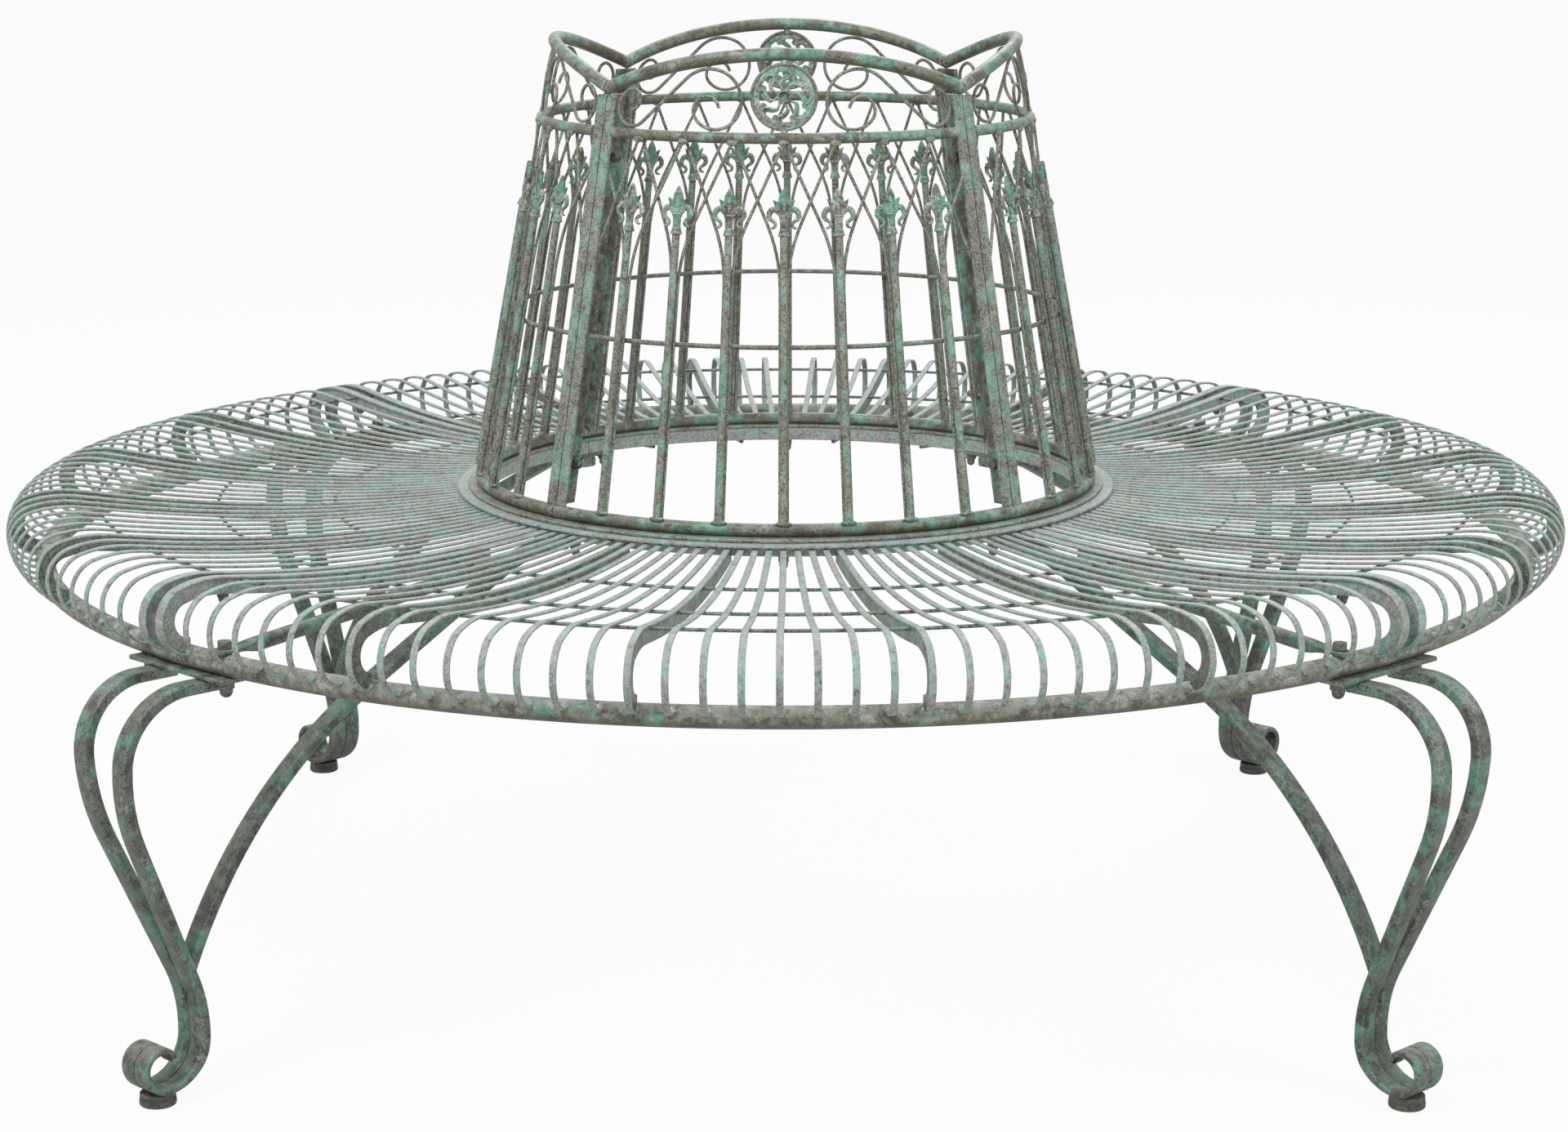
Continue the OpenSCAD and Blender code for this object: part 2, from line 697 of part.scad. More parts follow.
// Straight tie beside each joint, from the rim bolt to the inner ring
module seat_ties() {
    lug_in = rim_r - 15;
    lug_out = rim_r + 12;
    lug_z = rim_z + rim_d / 2 + weld;
    tie_out_z = lug_z + tie_lug_t / 2;
    tie_slope = (tie_in_z - tie_out_z) / (lug_in - ring_r - ring_w);
    color(bar_green)
        for (k = [0:3])
            at_joint(k)
                rotate([0, 0, tie_side(k) * rim_bolt_angle])
                    difference() {
                        union() {
                            rod([ring_r, 0, tie_in_z + ring_w * tie_slope], [lug_in, 0, tie_out_z], tie_d);
                            translate([lug_in - 6, -tie_d / 2 - 1.5, lug_z])
                                cube([lug_out - lug_in + 6, tie_d + 3, tie_lug_t]);
                        }
                        translate([0, 0, ring_z - 100])
                            cylinder(r = ring_r + ring_w + weld, h = 200, $fn = large_fn);
                        translate([rim_r, 0, lug_z - 1])
                            cylinder(d = rim_bolt_d + 2 * weld, h = tie_lug_t + 2);
                    }
}
// Side of the joint on which the tie lies: always on the front or back quarter
function tie_side(k) = k % 2 == 0 ? -1 : 1;

// Tabs between the end ribs, one over the other, bolted through
module seat_tabs() {
    face = end_strip_off + tab_r * sin(end_strip_turn) - rib_t / 2 - weld;
    top_z = slat_z(tab_r) - slat_t / 2 - weld - rib_h;
    color(bar_green)
        for (k = [0:3])
            at_joint(k)
                for (side = [-1, 1])
                    difference() {
                        translate([
                            tab_r - tab_l / 2,
                            side > 0 ? -tab_l / 3 : -face + weld,
                            top_z + (side > 0 ? weld + tab_t : 0)
                        ])
                            cube([tab_l, face - weld + tab_l / 3, tab_t]);
                        translate([tab_r, 0, top_z - 1])
                            cylinder(d = tab_bolt_d + 2 * weld, h = 2 * tab_t + 3);
                    }
}

// Two angle posts of one back panel, one at each joint
module back_posts(q) {
    outer = post_face_off;
    inner = post_face_off - post_depth;
    color(cage_green)
        at_quarter(q)
            for (side = [-1, 1])
                rotate([0, 0, side * half_quarter])
                    difference() {
                        union() {
                            post_bar(side, outer - post_t, outer, post_w);
                            post_bar(side, inner, outer, post_t);
                        }
                        for (z = [post_bolt_low_z, post_bolt_high_z])
                            translate([cage_r(z) + post_bolt_off, 0, z])
                                rotate([90, 0, 0])
                                    cylinder(d = post_bolt_d + 2 * weld, h = 4 * post_t, center = true);
                    }
}
module post_bar(side, off0, off1, w) {
    r0 = cage_r(post_z);
    r1 = cage_r(post_top_z);
    translate([0, side > 0 ? -joint_gap : joint_gap + w, 0])
        rotate([90, 0, 0])
            linear_extrude(w)
                polygon([
                    [r0 + off0, post_z], [r0 + off1, post_z],
                    [r1 + off1, post_top_z], [r1 + off0, post_top_z]
                ]);
}

// Base strip, bottom rail, upper rail and arch of one back panel
module back_rails(q) {
    strip_half = half_quarter - asin(joint_gap / strip_r);
    color(cage_green)
        at_quarter(q) {
            rotate([0, 0, -strip_half])
                rotate_extrude(angle = 2 * strip_half, $fn = large_fn)
                    translate([strip_r, strip_z])
                        square([strip_w, strip_t]);
            bent_bar(bottom_rail_r, bottom_rail_z, rail_d, half_quarter - asin(joint_gap / bottom_rail_r));
            bent_bar(cage_r(upper_rail_z), upper_rail_z, upper_rail_d,
                half_quarter - post_edge_angle(cage_r(upper_rail_z)));
            intersection() {
                arch();
                panel_wedge();
            }
        }
}
module arch() {
    half_angle = asin(arch_end / arch_bend_r) + 4;
    translate([cage_r(arch_top_z), 0, arch_top_z])
        rotate([0, -arch_lean, 0])
            translate([-arch_bend_r, 0, 0])
                rotate([0, 0, -half_angle])
                    rotate_extrude(angle = 2 * half_angle, $fn = large_fn)
                        translate([arch_bend_r, 0])
                            circle(d = rail_d);
}
// Space of one quarter between its joint planes
module panel_wedge() {
    reach = 2 * cage_base_r;
    translate([joint_gap * sqrt(2), 0, 0])
        linear_extrude(2 * arch_top_z)
            polygon([[0, 0], [reach, -reach], [reach, reach]]);
}

// Hoop wire inside the uprights of each panel
module back_hoops() {
    r = mid_hoop_r();
    color(cage_green)
        for (q = [0:3])
            at_quarter(q)
                bent_bar(r, mid_hoop_z, mid_hoop_d, half_quarter - post_edge_angle(r));
}

// Stands a part on the cage surface, with Z up the slope and X outward
module on_cage(a, z, off) {
    rotate([0, 0, a])
        translate([cage_r(z) + off, 0, z])
            rotate([0, -cage_lean, 0])
                children();
}

// Upright rods that carry the finials
module back_uprights(q) {
    foot_z = post_z + upright_d / 2 * sin(cage_lean);
    color(cage_green)
        at_quarter(q)
            for (i = [-uprights_each_side:uprights_each_side])
                on_cage(i * upright_pitch, foot_z, upright_off)
                    cylinder(d = upright_d, h = (finial_z - foot_z) / cos(cage_lean));
}

// Lattice wires beside the uprights, which bend apart and cross higher up
wire_sag = 0.8;
wire_foot_z = post_z + wire_d / 2 * sin(cage_lean);
wire_top_z = upper_rail_z - upper_rail_d / 2 - 0.5;
module back_lattice(q) {
    last = uprights_each_side;
    post_a = half_quarter - post_edge_angle(cage_r(post_wire_z)) - 0.3;
    short_a = half_quarter - post_edge_angle(cage_r(short_wire_z)) - 0.3;
    color(cage_green)
        at_quarter(q)
            for (side = [-1, 1])
                mirror([0, side > 0 ? 0 : 1, 0]) {
                    for (i = [-last:last - 1])
                        lattice_wire(i * upright_pitch, (i + 1) * upright_pitch, wire_top_z, side * wire_pass);
                    lattice_wire(last * upright_pitch, post_a, post_wire_z, side * wire_pass * 0.75);
                    rod(
                        cage_point(short_a, short_wire_z, -side * wire_pass * 0.6),
                        cage_point(last * upright_pitch, wire_top_z, -side * wire_pass),
                        wire_d
                    );
                }
}
function cage_point(a, z, off) =
    [(cage_r(z) + off) * cos(a), (cage_r(z) + off) * sin(a), z];

// One wire from the bottom rail up, bent towards a point at another angle
module lattice_wire(from_a, to_a, to_z, to_off) {
    start_r = cage_r(wire_foot_z) + wire_off;
    end_r = cage_r(to_z) + to_off;
    turn = to_a - from_a;
    v = [end_r * cos(turn) - start_r, end_r * sin(turn) - wire_side, to_z - wire_foot_z];
    out = v[0] * cos(cage_lean) + v[2] * sin(cage_lean);
    up = v[2] * cos(cage_lean) - v[0] * sin(cage_lean);
    across = norm([out, v[1]]);
    low = (split_z - wire_foot_z) / cos(cage_lean);
    dx = across - wire_bend_r;
    dy = up - low;
    tail = sqrt(dx * dx + dy * dy - wire_bend_r * wire_bend_r);
    bend = atan2(tail, -wire_bend_r) - atan2(dy, dx);
    path = [[low, 90, 90], [wire_bend_r, 90, 90 - bend], [tail, 90 - bend, 90 - bend]];
    rotate([0, 0, from_a])
        translate([start_r, wire_side, wire_foot_z])
            rotate([0, -cage_lean, 0])
                rotate([90, 0, 90 + atan2(-out, v[1])])
                    skin([
                        for (q = trace([0, 0], path, wire_sag))
                            let (n = normal_of(q))
                            wire_ring([q[0], q[1], 0], [n[0], n[1], 0], [0, 0, 1], wire_d)
                    ]);
}

// Scroll wire of a panel, laid out on the unrolled cage and wrapped back on it
scroll_sag = 0.65;
function wrap(p) = cage_point(p[0] / scroll_unroll_r * 180 / PI, p[1], 0);
function unit(v) = v / norm(v);
module scroll_wire() {
    path = [for (q = trace(scroll_start, SCROLL, scroll_sag)) wrap(q)];
    last = len(path) - 1;
    skin([
        for (i = [0:last])
            let (
                p = path[i],
                along = unit(path[min(i + 1, last)] - path[max(i - 1, 0)]),
                out = unit([p[0], p[1], norm([p[0], p[1]]) * tan(cage_lean)]),
                across = unit(cross(along, out))
            )
            wire_ring(p, cross(across, along), across, scroll_d)
    ]);
}
module back_scrolls(q) {
    color(cage_green)
        at_quarter(q)
            for (side = [0, 1])
                mirror([0, side, 0])
                    scroll_wire();
}

// Pointed leaf between two arcs
module leaf(length, width) {
    r = (pow(length, 2) + pow(width, 2)) / (4 * width);
    intersection() {
        translate([r - width / 2, 0]) circle(r = r);
        translate([width / 2 - r, 0]) circle(r = r);
    }
}

// Flat body of a finial: leaf, two leaflets, stem and two curled arms
module finial_outline() {
    leaf_h = finial_h * 0.6;
    shoulder_y = finial_h * 0.42;
    arm_out_r = 7.3;
    arm_in_r = 2;
    arm_x = finial_w / 2 - arm_out_r;
    arm_y = finial_h * 0.443;
    neck_r = 5.2;
    tail_r = 3.4;
    tail_x = arm_x + 1.8;
    tail_y = arm_y - neck_r - tail_r + 0.3;
    thin = 1.2;
    translate([0, finial_h - leaf_h / 2])
        leaf(leaf_h, 11);
    translate([-stem_w / 2, finial_collar_h - 1])
        square([stem_w, shoulder_y - finial_collar_h + 4]);
    for (side = [0, 1])
        mirror([side, 0]) {
            translate([5.2, finial_h * 0.64])
                rotate(-34)
                    leaf(17, 4.6);
            polygon([
                [0, shoulder_y], [stem_w / 2, shoulder_y], [arm_x - arm_in_r, arm_y + arm_in_r],
                [arm_x, arm_y + arm_out_r], [arm_x, finial_h * 0.66], [0, finial_h * 0.66]
            ]);
            translate([arm_x, arm_y]) {
                band(arm_in_r, arm_out_r, -50, 100);
                band(neck_r - thin, neck_r + thin, -100, -44);
            }
            translate([tail_x, tail_y])
                band(tail_r - thin, tail_r + thin, 105, 280);
        }
}

stem_w = 6.4;
finial_collar_h = 6.3;
module back_finials(q) {
    collar_d = 10.4;
    collar_top_d = 7.8;
    body_off = 4.6;
    color(cast_green)
        at_quarter(q)
            for (i = [-uprights_each_side:uprights_each_side])
                on_cage(i * upright_pitch, finial_z, upright_off) {
                    translate([0, 0, weld])
                        cylinder(d1 = collar_d, d2 = collar_top_d, h = finial_collar_h);
                    translate([body_off - upright_off - finial_t / 2, 0, weld])
                        rotate([90, 0, 90])
                            linear_extrude(finial_t)
                                finial_outline();
                }
}

// Rosette in its wire ring, with a collar above and below
module rosettes() {
    ring_wire_r = (rosette_d - rosette_wire_d) / 2;
    disc_r = ring_wire_r - rosette_wire_d / 2 - weld;
    rim_in = disc_r - 3.4;
    disc_t = 3;
    boss_d = 12;
    boss_t = 8;
    spoke_w = 2.4;
    spoke_r = 13;
    spoke_half = asin((rim_in - boss_d / 2 + 3) / 2 / spoke_r);
    collar_d = 6;
    color(cast_green)
        for (q = [0:3])
            at_quarter(q)
                on_cage(0, rosette_z, 0) {
                    rotate([0, 90, 0]) {
                        rotate_extrude()
                            translate([ring_wire_r, 0])
                                circle(d = rosette_wire_d);
                        translate([0, 0, -disc_t / 2])
                            linear_extrude(disc_t) {
                                difference() {
                                    circle(r = disc_r);
                                    circle(r = rim_in);
                                }
                                for (i = [0:rosette_spokes - 1])
                                    rotate(i * 360 / rosette_spokes)
                                        translate([(boss_d / 2 + rim_in) / 2, -spoke_r * cos(spoke_half)])
                                            band(spoke_r - spoke_w / 2, spoke_r + spoke_w / 2,
                                                90 - spoke_half, 90 + spoke_half);
                            }
                        translate([0, 0, -disc_t / 2])
                            cylinder(d1 = boss_d + 2, d2 = boss_d - 3, h = boss_t);
                    }
                    for (side = [0, 1])
                        rosette_collar(side, ring_wire_r, collar_d);
                }
}
// Small collar from the ring to the rail below it or to the arch above it
module rosette_collar(side, ring_wire_r, collar_d) {
    up = (cage_up(arch_top_z) - rail_d / 2) - weld * 3;
    down = -(cage_up(upper_rail_z) + upper_rail_d / 2) - weld * 2;
    mirror([0, 0, side])
        translate([0, 0, ring_wire_r + 1])
            cylinder(d = collar_d, h = (side == 0 ? up : down) - ring_wire_r - 1);
}
function cage_up(z) = (z - rosette_z) / cos(cage_lean);

// Domed nut that opens along Z and closes at its height
module dome_nut(shank, across, h) {
    hex_h = h * 0.45;
    dome_r = across * 0.43;
    difference() {
        union() {
            cylinder(d = across / cos(30), h = hex_h, $fn = 6);
            translate([0, 0, hex_h - 0.5])
                cylinder(r = dome_r, h = h - hex_h - dome_r * 0.6 + 0.5);
            translate([0, 0, h - dome_r * 0.6])
                cylinder(r1 = dome_r, r2 = dome_r * 0.45, h = dome_r * 0.6);
        }
        translate([0, 0, -1])
            cylinder(d = shank + 2 * weld, h = h * 0.6 + 1);
    }
}

// Sizes of the fasteners, from their shanks
rim_nut_h = 14.5;
stud_nut_h = 12.5;
post_nut_h = 9;
tab_nut_h = 10;
rim_head_h = 6.5;
small_head_h = 3.5;
lug_top = rim_z + rim_d / 2 + weld;
function rim_seat(k, side) = lug_top + (side == tie_side(k) ? tie_lug_t + weld : 0);
tab_low_z = slat_z(tab_r) - slat_t / 2 - weld - rib_h;
tab_high_z = tab_low_z + 2 * tab_t + weld;

module bolts() {
    color(bolt_brown) {
        for (k = [0:3])
            at_joint(k) {
                for (side = [-1, 1])
                    at_rim_bolt(side) {
                        translate([0, 0, leg_plate_z - rim_nut_h * 0.5])
                            cylinder(d = rim_bolt_d, h = rim_seat(k, side) - leg_plate_z + rim_nut_h * 0.5 + 1);
                        translate([0, 0, rim_seat(k, side)])
                            cylinder(d = rim_bolt_d * 1.6, h = rim_head_h, $fn = 6);
                    }
                translate([tab_r, 0, tab_low_z - tab_nut_h * 0.5])
                    cylinder(d = tab_bolt_d, h = tab_high_z - tab_low_z + tab_nut_h * 0.5 + 1);
                translate([tab_r, 0, tab_high_z + weld])
                    cylinder(d = tab_bolt_d * 1.6, h = small_head_h, $fn = 6);
                for (z = [post_bolt_low_z, post_bolt_high_z])
                    translate([cage_r(z) + post_bolt_off, 0, z])
                        rotate([90, 0, 0]) {
                            translate([0, 0, -joint_gap - post_t - post_nut_h * 0.5])
                                cylinder(d = post_bolt_d, h = 2 * (joint_gap + post_t) + post_nut_h * 0.5 + 1);
                            translate([0, 0, joint_gap + post_t + weld])
                                cylinder(d = post_bolt_d * 1.9, h = small_head_h, $fn = 6);
                        }
            }
        for (q = [0:3])
            at_quarter(q)
                for (a = stud_angles())
                    rotate([0, 0, a])
                        translate([stud_r, 0, stud_nut_z(a) - stud_nut_h * 0.5])
                            cylinder(d = stud_d, h = strip_z - stud_nut_z(a) + stud_nut_h * 0.5);
    }
}
function stud_nut_z(a) = a == 0 ? ring_z - weld : ring_plate_z - weld;

module nuts() {
    color(bolt_brown) {
        for (k = [0:3])
            at_joint(k) {
                for (side = [-1, 1])
                    at_rim_bolt(side)
                        translate([0, 0, leg_plate_z - weld])
                            mirror([0, 0, 1])
                                dome_nut(rim_bolt_d, rim_bolt_d * 1.65, rim_nut_h);
                translate([tab_r, 0, tab_low_z - weld])
                    mirror([0, 0, 1])
                        dome_nut(tab_bolt_d, tab_bolt_d * 1.6, tab_nut_h);
                for (z = [post_bolt_low_z, post_bolt_high_z])
                    translate([cage_r(z) + post_bolt_off, joint_gap + post_t + weld, z])
                        rotate([-90, 0, 0])
                            dome_nut(post_bolt_d, post_bolt_d * 1.7, post_nut_h);
            }
        for (q = [0:3])
            at_quarter(q)
                for (a = stud_angles())
                    rotate([0, 0, a])
                        translate([stud_r, 0, stud_nut_z(a)])
                            mirror([0, 0, 1])
                                dome_nut(stud_d, stud_d * 1.55, stud_nut_h);
    }
}

for (q = [0:3]) {
    side = QUARTERS[q];
    seat_rim(q);
    seat_ring(q);
    seat_slats(q);
    seat_ribs(q);
    seat_end_ribs(q);
    back_posts(q);
    back_rails(q);
    back_uprights(q);
    back_lattice(q);
    back_scrolls(q);
    back_finials(q);
    leg(q);
}
seat_hoops();
back_hoops();
rosettes();
leg_braces();
seat_ties();
leg_plates();
ring_plates();
foot_pads();
seat_tabs();
bolts();
nuts();
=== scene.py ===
# Looks of a round metal tree bench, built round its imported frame.
# Sizes are in millimetres, and shapes turn to metres when their piece is made.
import math

import bpy
import numpy as np
from mathutils import Matrix, Vector


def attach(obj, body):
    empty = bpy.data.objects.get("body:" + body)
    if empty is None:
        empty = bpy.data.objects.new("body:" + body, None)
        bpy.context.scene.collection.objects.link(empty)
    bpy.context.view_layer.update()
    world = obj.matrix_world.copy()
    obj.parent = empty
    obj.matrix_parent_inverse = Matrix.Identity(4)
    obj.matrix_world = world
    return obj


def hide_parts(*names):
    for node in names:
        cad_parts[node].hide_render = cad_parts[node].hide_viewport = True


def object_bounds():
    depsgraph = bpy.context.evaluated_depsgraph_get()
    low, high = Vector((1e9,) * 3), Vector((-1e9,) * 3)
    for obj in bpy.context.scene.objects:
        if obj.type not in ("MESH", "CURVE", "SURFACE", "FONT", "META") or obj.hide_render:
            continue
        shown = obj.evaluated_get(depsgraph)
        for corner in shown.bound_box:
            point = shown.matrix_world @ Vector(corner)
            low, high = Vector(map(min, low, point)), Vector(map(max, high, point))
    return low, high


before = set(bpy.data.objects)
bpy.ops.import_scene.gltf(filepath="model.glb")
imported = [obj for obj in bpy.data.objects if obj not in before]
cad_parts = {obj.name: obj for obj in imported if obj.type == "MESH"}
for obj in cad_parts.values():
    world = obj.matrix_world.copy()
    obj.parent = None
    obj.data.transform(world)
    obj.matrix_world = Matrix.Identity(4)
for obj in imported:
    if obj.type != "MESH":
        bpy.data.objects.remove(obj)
cad_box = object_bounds()

MM = 0.001
QUARTERS = ["front", "right", "back", "left"]
LEGS = ["front_right", "back_right", "back_left", "front_left"]
quarter = 90
half_quarter = quarter / 2
weld = 0.2  # gap between two welded pieces
joint_gap = 0.5
twin_gap = 0.6

# Legs and feet
pad_r = 757.5
pad_d = 32
pad_h = 12
bar_t = 10.4
bar_w = 18.2
bar_round = 2.6
scroll_bar_t = 6
leg_splay = 5.3
foot_bend_r = 40
belly_bend_r = 132
side_bend_r = 181
shoulder_bend_r = 59.6
belly_heading = 92.3
weld_heading = 66.6
side_heading = 90
leg_plate_l = 134
leg_plate_w = 25
leg_plate_t = 4
brace_top_bend_r = 118
brace_slope = 27.2
brace_straight = 175
brace_low_bend_r = 443
brace_foot_off = 4.1
LEG_BEAD = (12, 3.6, 5)
LEG_BEAD_HEIGHTS = (-6, -20, 8)
leg_bead_tilt = 1.9

# Seat
low_r = 440
low_z = 433.9
dish_bend_r = 1473
dish_slope = 8
slat_straight = 35.7
crest_bend_r = 110
crest_turn = 23
roll_bend_r = 29.5
slat_in_r = 309
slat_t = 2.25
slat_w = 6
slats_each_side = 18
slat_pitch = 2.2968
end_strip_w = 10
end_strip_off = 3.4
end_strip_turn = 0.666
rib_h = 13.5
rib_t = 4
rib_in_r = 306
end_rib_in_r = 385
RIB_SLATS = [-12, -4, 4, 12]
hoop_d = 3.2
rim_r = 712
rim_z = 389.5
rim_d = 19
rim_sink = 1.5
rim_bead_out = 7.5
rim_bead_up = 6.2
rim_bead_tilt = 0.7
SLAT_BEAD = (7, 8.4, 3.4)
END_STRIP_BEAD = (8, 12, 4)
ring_r = 290
ring_w = 14
ring_z = 431.5
ring_h = 13
flange_w = 15.3
flange_t = 3
ring_plate_t = 2.5
tie_d = 13
tie_in_z = 431
tie_lug_t = 4

# Back cage
cage_base_r = 297
cage_base_z = 454.2
cage_lean = 10.476
strip_t = 3.2
strip_w = 20
rail_d = 12
upper_rail_d = 10
upper_rail_z = 798.6
arch_end_z = 838
arch_top_z = 872.3
mid_hoop_z = 614.6
mid_hoop_d = 4.5
post_w = 12
post_depth = 21
post_t = 3
post_face_off = 2
post_bolt_off = -12.5
POST_BOLTS = [496, 774.6]
uprights_each_side = 3
upright_pitch = 11.25
upright_d = 7
upright_off = 4.4
finial_z = 713
wire_d = 3
wire_side = 3.4
wire_off = 0.5
split_z = 666
wire_bend_r = 150
post_wire_z = 762
short_wire_z = 686
wire_pass = 3.3
rosette_z = 835
rosette_d = 61.4
rosette_wire_d = 4.5
scroll_d = 3.2
scroll_unroll_r = 229

# Fasteners
rim_bolt_d = 8
rim_bolt_angle = 4.3
stud_d = 6
stud_angle = 4.8
post_bolt_d = 5
tab_r = 672
tab_bolt_d = 6
rim_nut_h = 14.5
stud_nut_h = 12.5
post_nut_h = 9
tab_nut_h = 10
rim_head_h = 6.5


def sind(a):
    return math.sin(math.radians(a))


def cosd(a):
    return math.cos(math.radians(a))


def tand(a):
    return math.tan(math.radians(a))


# Paths in a plane: pieces of [radius or length, first heading, last heading]

def piece_end(p, s):
    if s[1] == s[2]:
        return (p[0] + s[0] * cosd(s[1]), p[1] + s[0] * sind(s[1]))
    side = 1 if s[2] > s[1] else -1
    return (
        p[0] + side * s[0] * (sind(s[2]) - sind(s[1])),
        p[1] + side * s[0] * (cosd(s[1]) - cosd(s[2])),
    )


def path_end(p, path):
    for s in path:
        p = piece_end(p, s)
    return p


def trace(start, path, most_turn=5, most_step=1000):
    """Points along a path as rows of x, y and heading."""
    rows = [(start[0], start[1], path[0][1])]
    p = start
    for radius, a0, a1 in path:
        length = radius if a0 == a1 else radius * math.radians(abs(a1 - a0))
        count = max(1, math.ceil(abs(a1 - a0) / most_turn), math.ceil(length / most_step))
        for k in range(1, count + 1):
            f = k / count
            part = [radius * f, a0, a0] if a0 == a1 else [radius, a0, a0 + (a1 - a0) * f]
            q = piece_end(p, part)
            rows.append((q[0], q[1], part[2]))
        p = q
    return np.array(rows)


def backwards(rows):
    return rows[::-1] + np.array([0, 0, 180])


def normals(rows):
    a = np.radians(rows[:, 2])
    return np.c_[-np.sin(a), np.cos(a)]


def standing(flat):
    """Points or directions of a path, drawn in X and Z."""
    return np.c_[flat[:, 0], np.zeros(len(flat)), flat[:, 1]]


# Shapes: points and faces of one piece, in millimetres

class Shape:
    def __init__(self):
        self.points = []
        self.faces = []
        self.count = 0

    def rings(self, rings, place=None, closed=False):
        """Skins rings of points, each anticlockwise about the way forward."""
        rings = np.asarray(rings, dtype=float)
        m, n, _ = rings.shape
        flat = rings.reshape(-1, 3)
        if place is not None:
            t = np.array(place)
            flat = flat @ t[:3, :3].T + t[:3, 3]
        base = self.count
        self.points.append(flat)
        self.count += m * n
        for i in range(m if closed else m - 1):
            a = base + i * n
            b = base + (i + 1) % m * n
            self.faces += [(a + j, a + (j + 1) % n, b + (j + 1) % n, b + j) for j in range(n)]
        if not closed:
            self.faces.append(tuple(base + j for j in reversed(range(n))))
            self.faces.append(tuple(base + (m - 1) * n + j for j in range(n)))

    def sweep(self, points, hint, section, place=None, closed=False):
        """Sweeps a section along points; its first axis leans towards the hint."""
        points = np.asarray(points, dtype=float)
        if closed:
            way = np.roll(points, -1, 0) - np.roll(points, 1, 0)
        else:
            way = np.gradient(points, axis=0)
        way /= np.linalg.norm(way, axis=1)[:, None]
        u = np.broadcast_to(np.asarray(hint, dtype=float), points.shape)
        u = u - (u * way).sum(1)[:, None] * way
        u = u / np.linalg.norm(u, axis=1)[:, None]
        v = np.cross(way, u)
        section = np.asarray(section, dtype=float)
        if section.ndim == 2:
            section = np.broadcast_to(section, (len(points),) + section.shape)
        rings = points[:, None] + section[:, :, :1] * u[:, None] + section[:, :, 1:] * v[:, None]
        self.rings(rings, place, closed)

    def bent(self, profile, a0, a1, place=None, most_turn=1.5):
        """Turns a profile of radius and height about the trunk axis."""
        count = max(2, math.ceil(abs(a1 - a0) / most_turn) + 1)
        angles = np.radians(np.linspace(a0, a1, count))
        profile = np.asarray(profile, dtype=float)[::-1]
        rings = [np.c_[profile[:, 0] * math.cos(a), profile[:, 0] * math.sin(a), profile[:, 1]] for a in angles]
        self.rings(rings, place)

    def turned(self, profile, place=None, sides=24):
        """Turns a profile of radius and height about its own Z axis, from the bottom up."""
        ring = unit_circle(sides)
        self.rings([np.c_[ring * max(r, 0.02), np.full(sides, z)] for r, z in profile], place)

    def block(self, low, high, place=None, edge=0.6):
        """Box between two corners, with its upright edges and its rims broken."""
        low = np.array(low, dtype=float)
        high = np.array(high, dtype=float)
        self.prism([(low[0], low[1]), (high[0], low[1]), (high[0], high[1]), (low[0], high[1])],
                   low[2], high[2], place, edge)

    def prism(self, outline, z0, z1, place=None, edge=0.6):
        """Straight bar over an anticlockwise outline, with broken edges."""
        outer = soften(outline, edge)
        inner = shrink(outer, edge)
        levels = [(inner, z0), (outer, z0 + edge), (outer, z1 - edge), (inner, z1)]
        self.rings([np.c_[ring, np.full(len(ring), z)] for ring, z in levels], place)


def unit_circle(sides):
    a = np.arange(sides) * 2 * math.pi / sides
    return np.c_[np.cos(a), np.sin(a)]


def round_section(d, sides=12):
    return unit_circle(sides) * d / 2


def soften(outline, edge):
    """Cuts each corner of an outline with a short flat."""
    points = np.asarray(outline, dtype=float)
    out = []
    for before, p, after in zip(np.roll(points, 1, 0), points, np.roll(points, -1, 0)):
        for q in (before, after):
            step = q - p
            out.append(p + step / np.linalg.norm(step) * min(edge, np.linalg.norm(step) * 0.4))
    return np.array(out)


def shrink(outline, by):
    """Moves every side of an outline inwards."""
    before = outline - np.roll(outline, 1, 0)
    after = np.roll(outline, -1, 0) - outline
    n0 = np.c_[-before[:, 1], before[:, 0]] / np.linalg.norm(before, axis=1)[:, None]
    n1 = np.c_[-after[:, 1], after[:, 0]] / np.linalg.norm(after, axis=1)[:, None]
    mid = n0 + n1
    return outline + by * mid / np.maximum((mid * n0).sum(1), 0.3)[:, None]


def bar_section(t, w, r, steps=3):
    """Rounded rectangle, thickness along the first axis, anticlockwise."""
    points = []
    for k, (sx, sy) in enumerate([(1, 1), (-1, 1), (-1, -1), (1, -1)]):
        for i in range(steps + 1):
            a = 90 * k + 90 * i / steps
            points.append((sx * (t / 2 - r) + r * cosd(a), sy * (w / 2 - r) + r * sind(a)))
    return np.array(points)


# Places

def turn(a):
    return Matrix.Rotation(math.radians(a), 4, "Z")


def move(x, y, z):
    return Matrix.Translation((x, y, z))


def at_quarter(q):
    return turn(quarter * q - 90)


def at_joint(k):
    return turn(quarter * k - half_quarter)


def cage_r(z):
    return cage_base_r - (z - cage_base_z) * tand(cage_lean)


def on_cage(a, z, off):
    """Stands a part on the cage, with Z up the slope and X outward."""
    return turn(a) @ move(cage_r(z) + off, 0, z) @ Matrix.Rotation(math.radians(-cage_lean), 4, "Y")


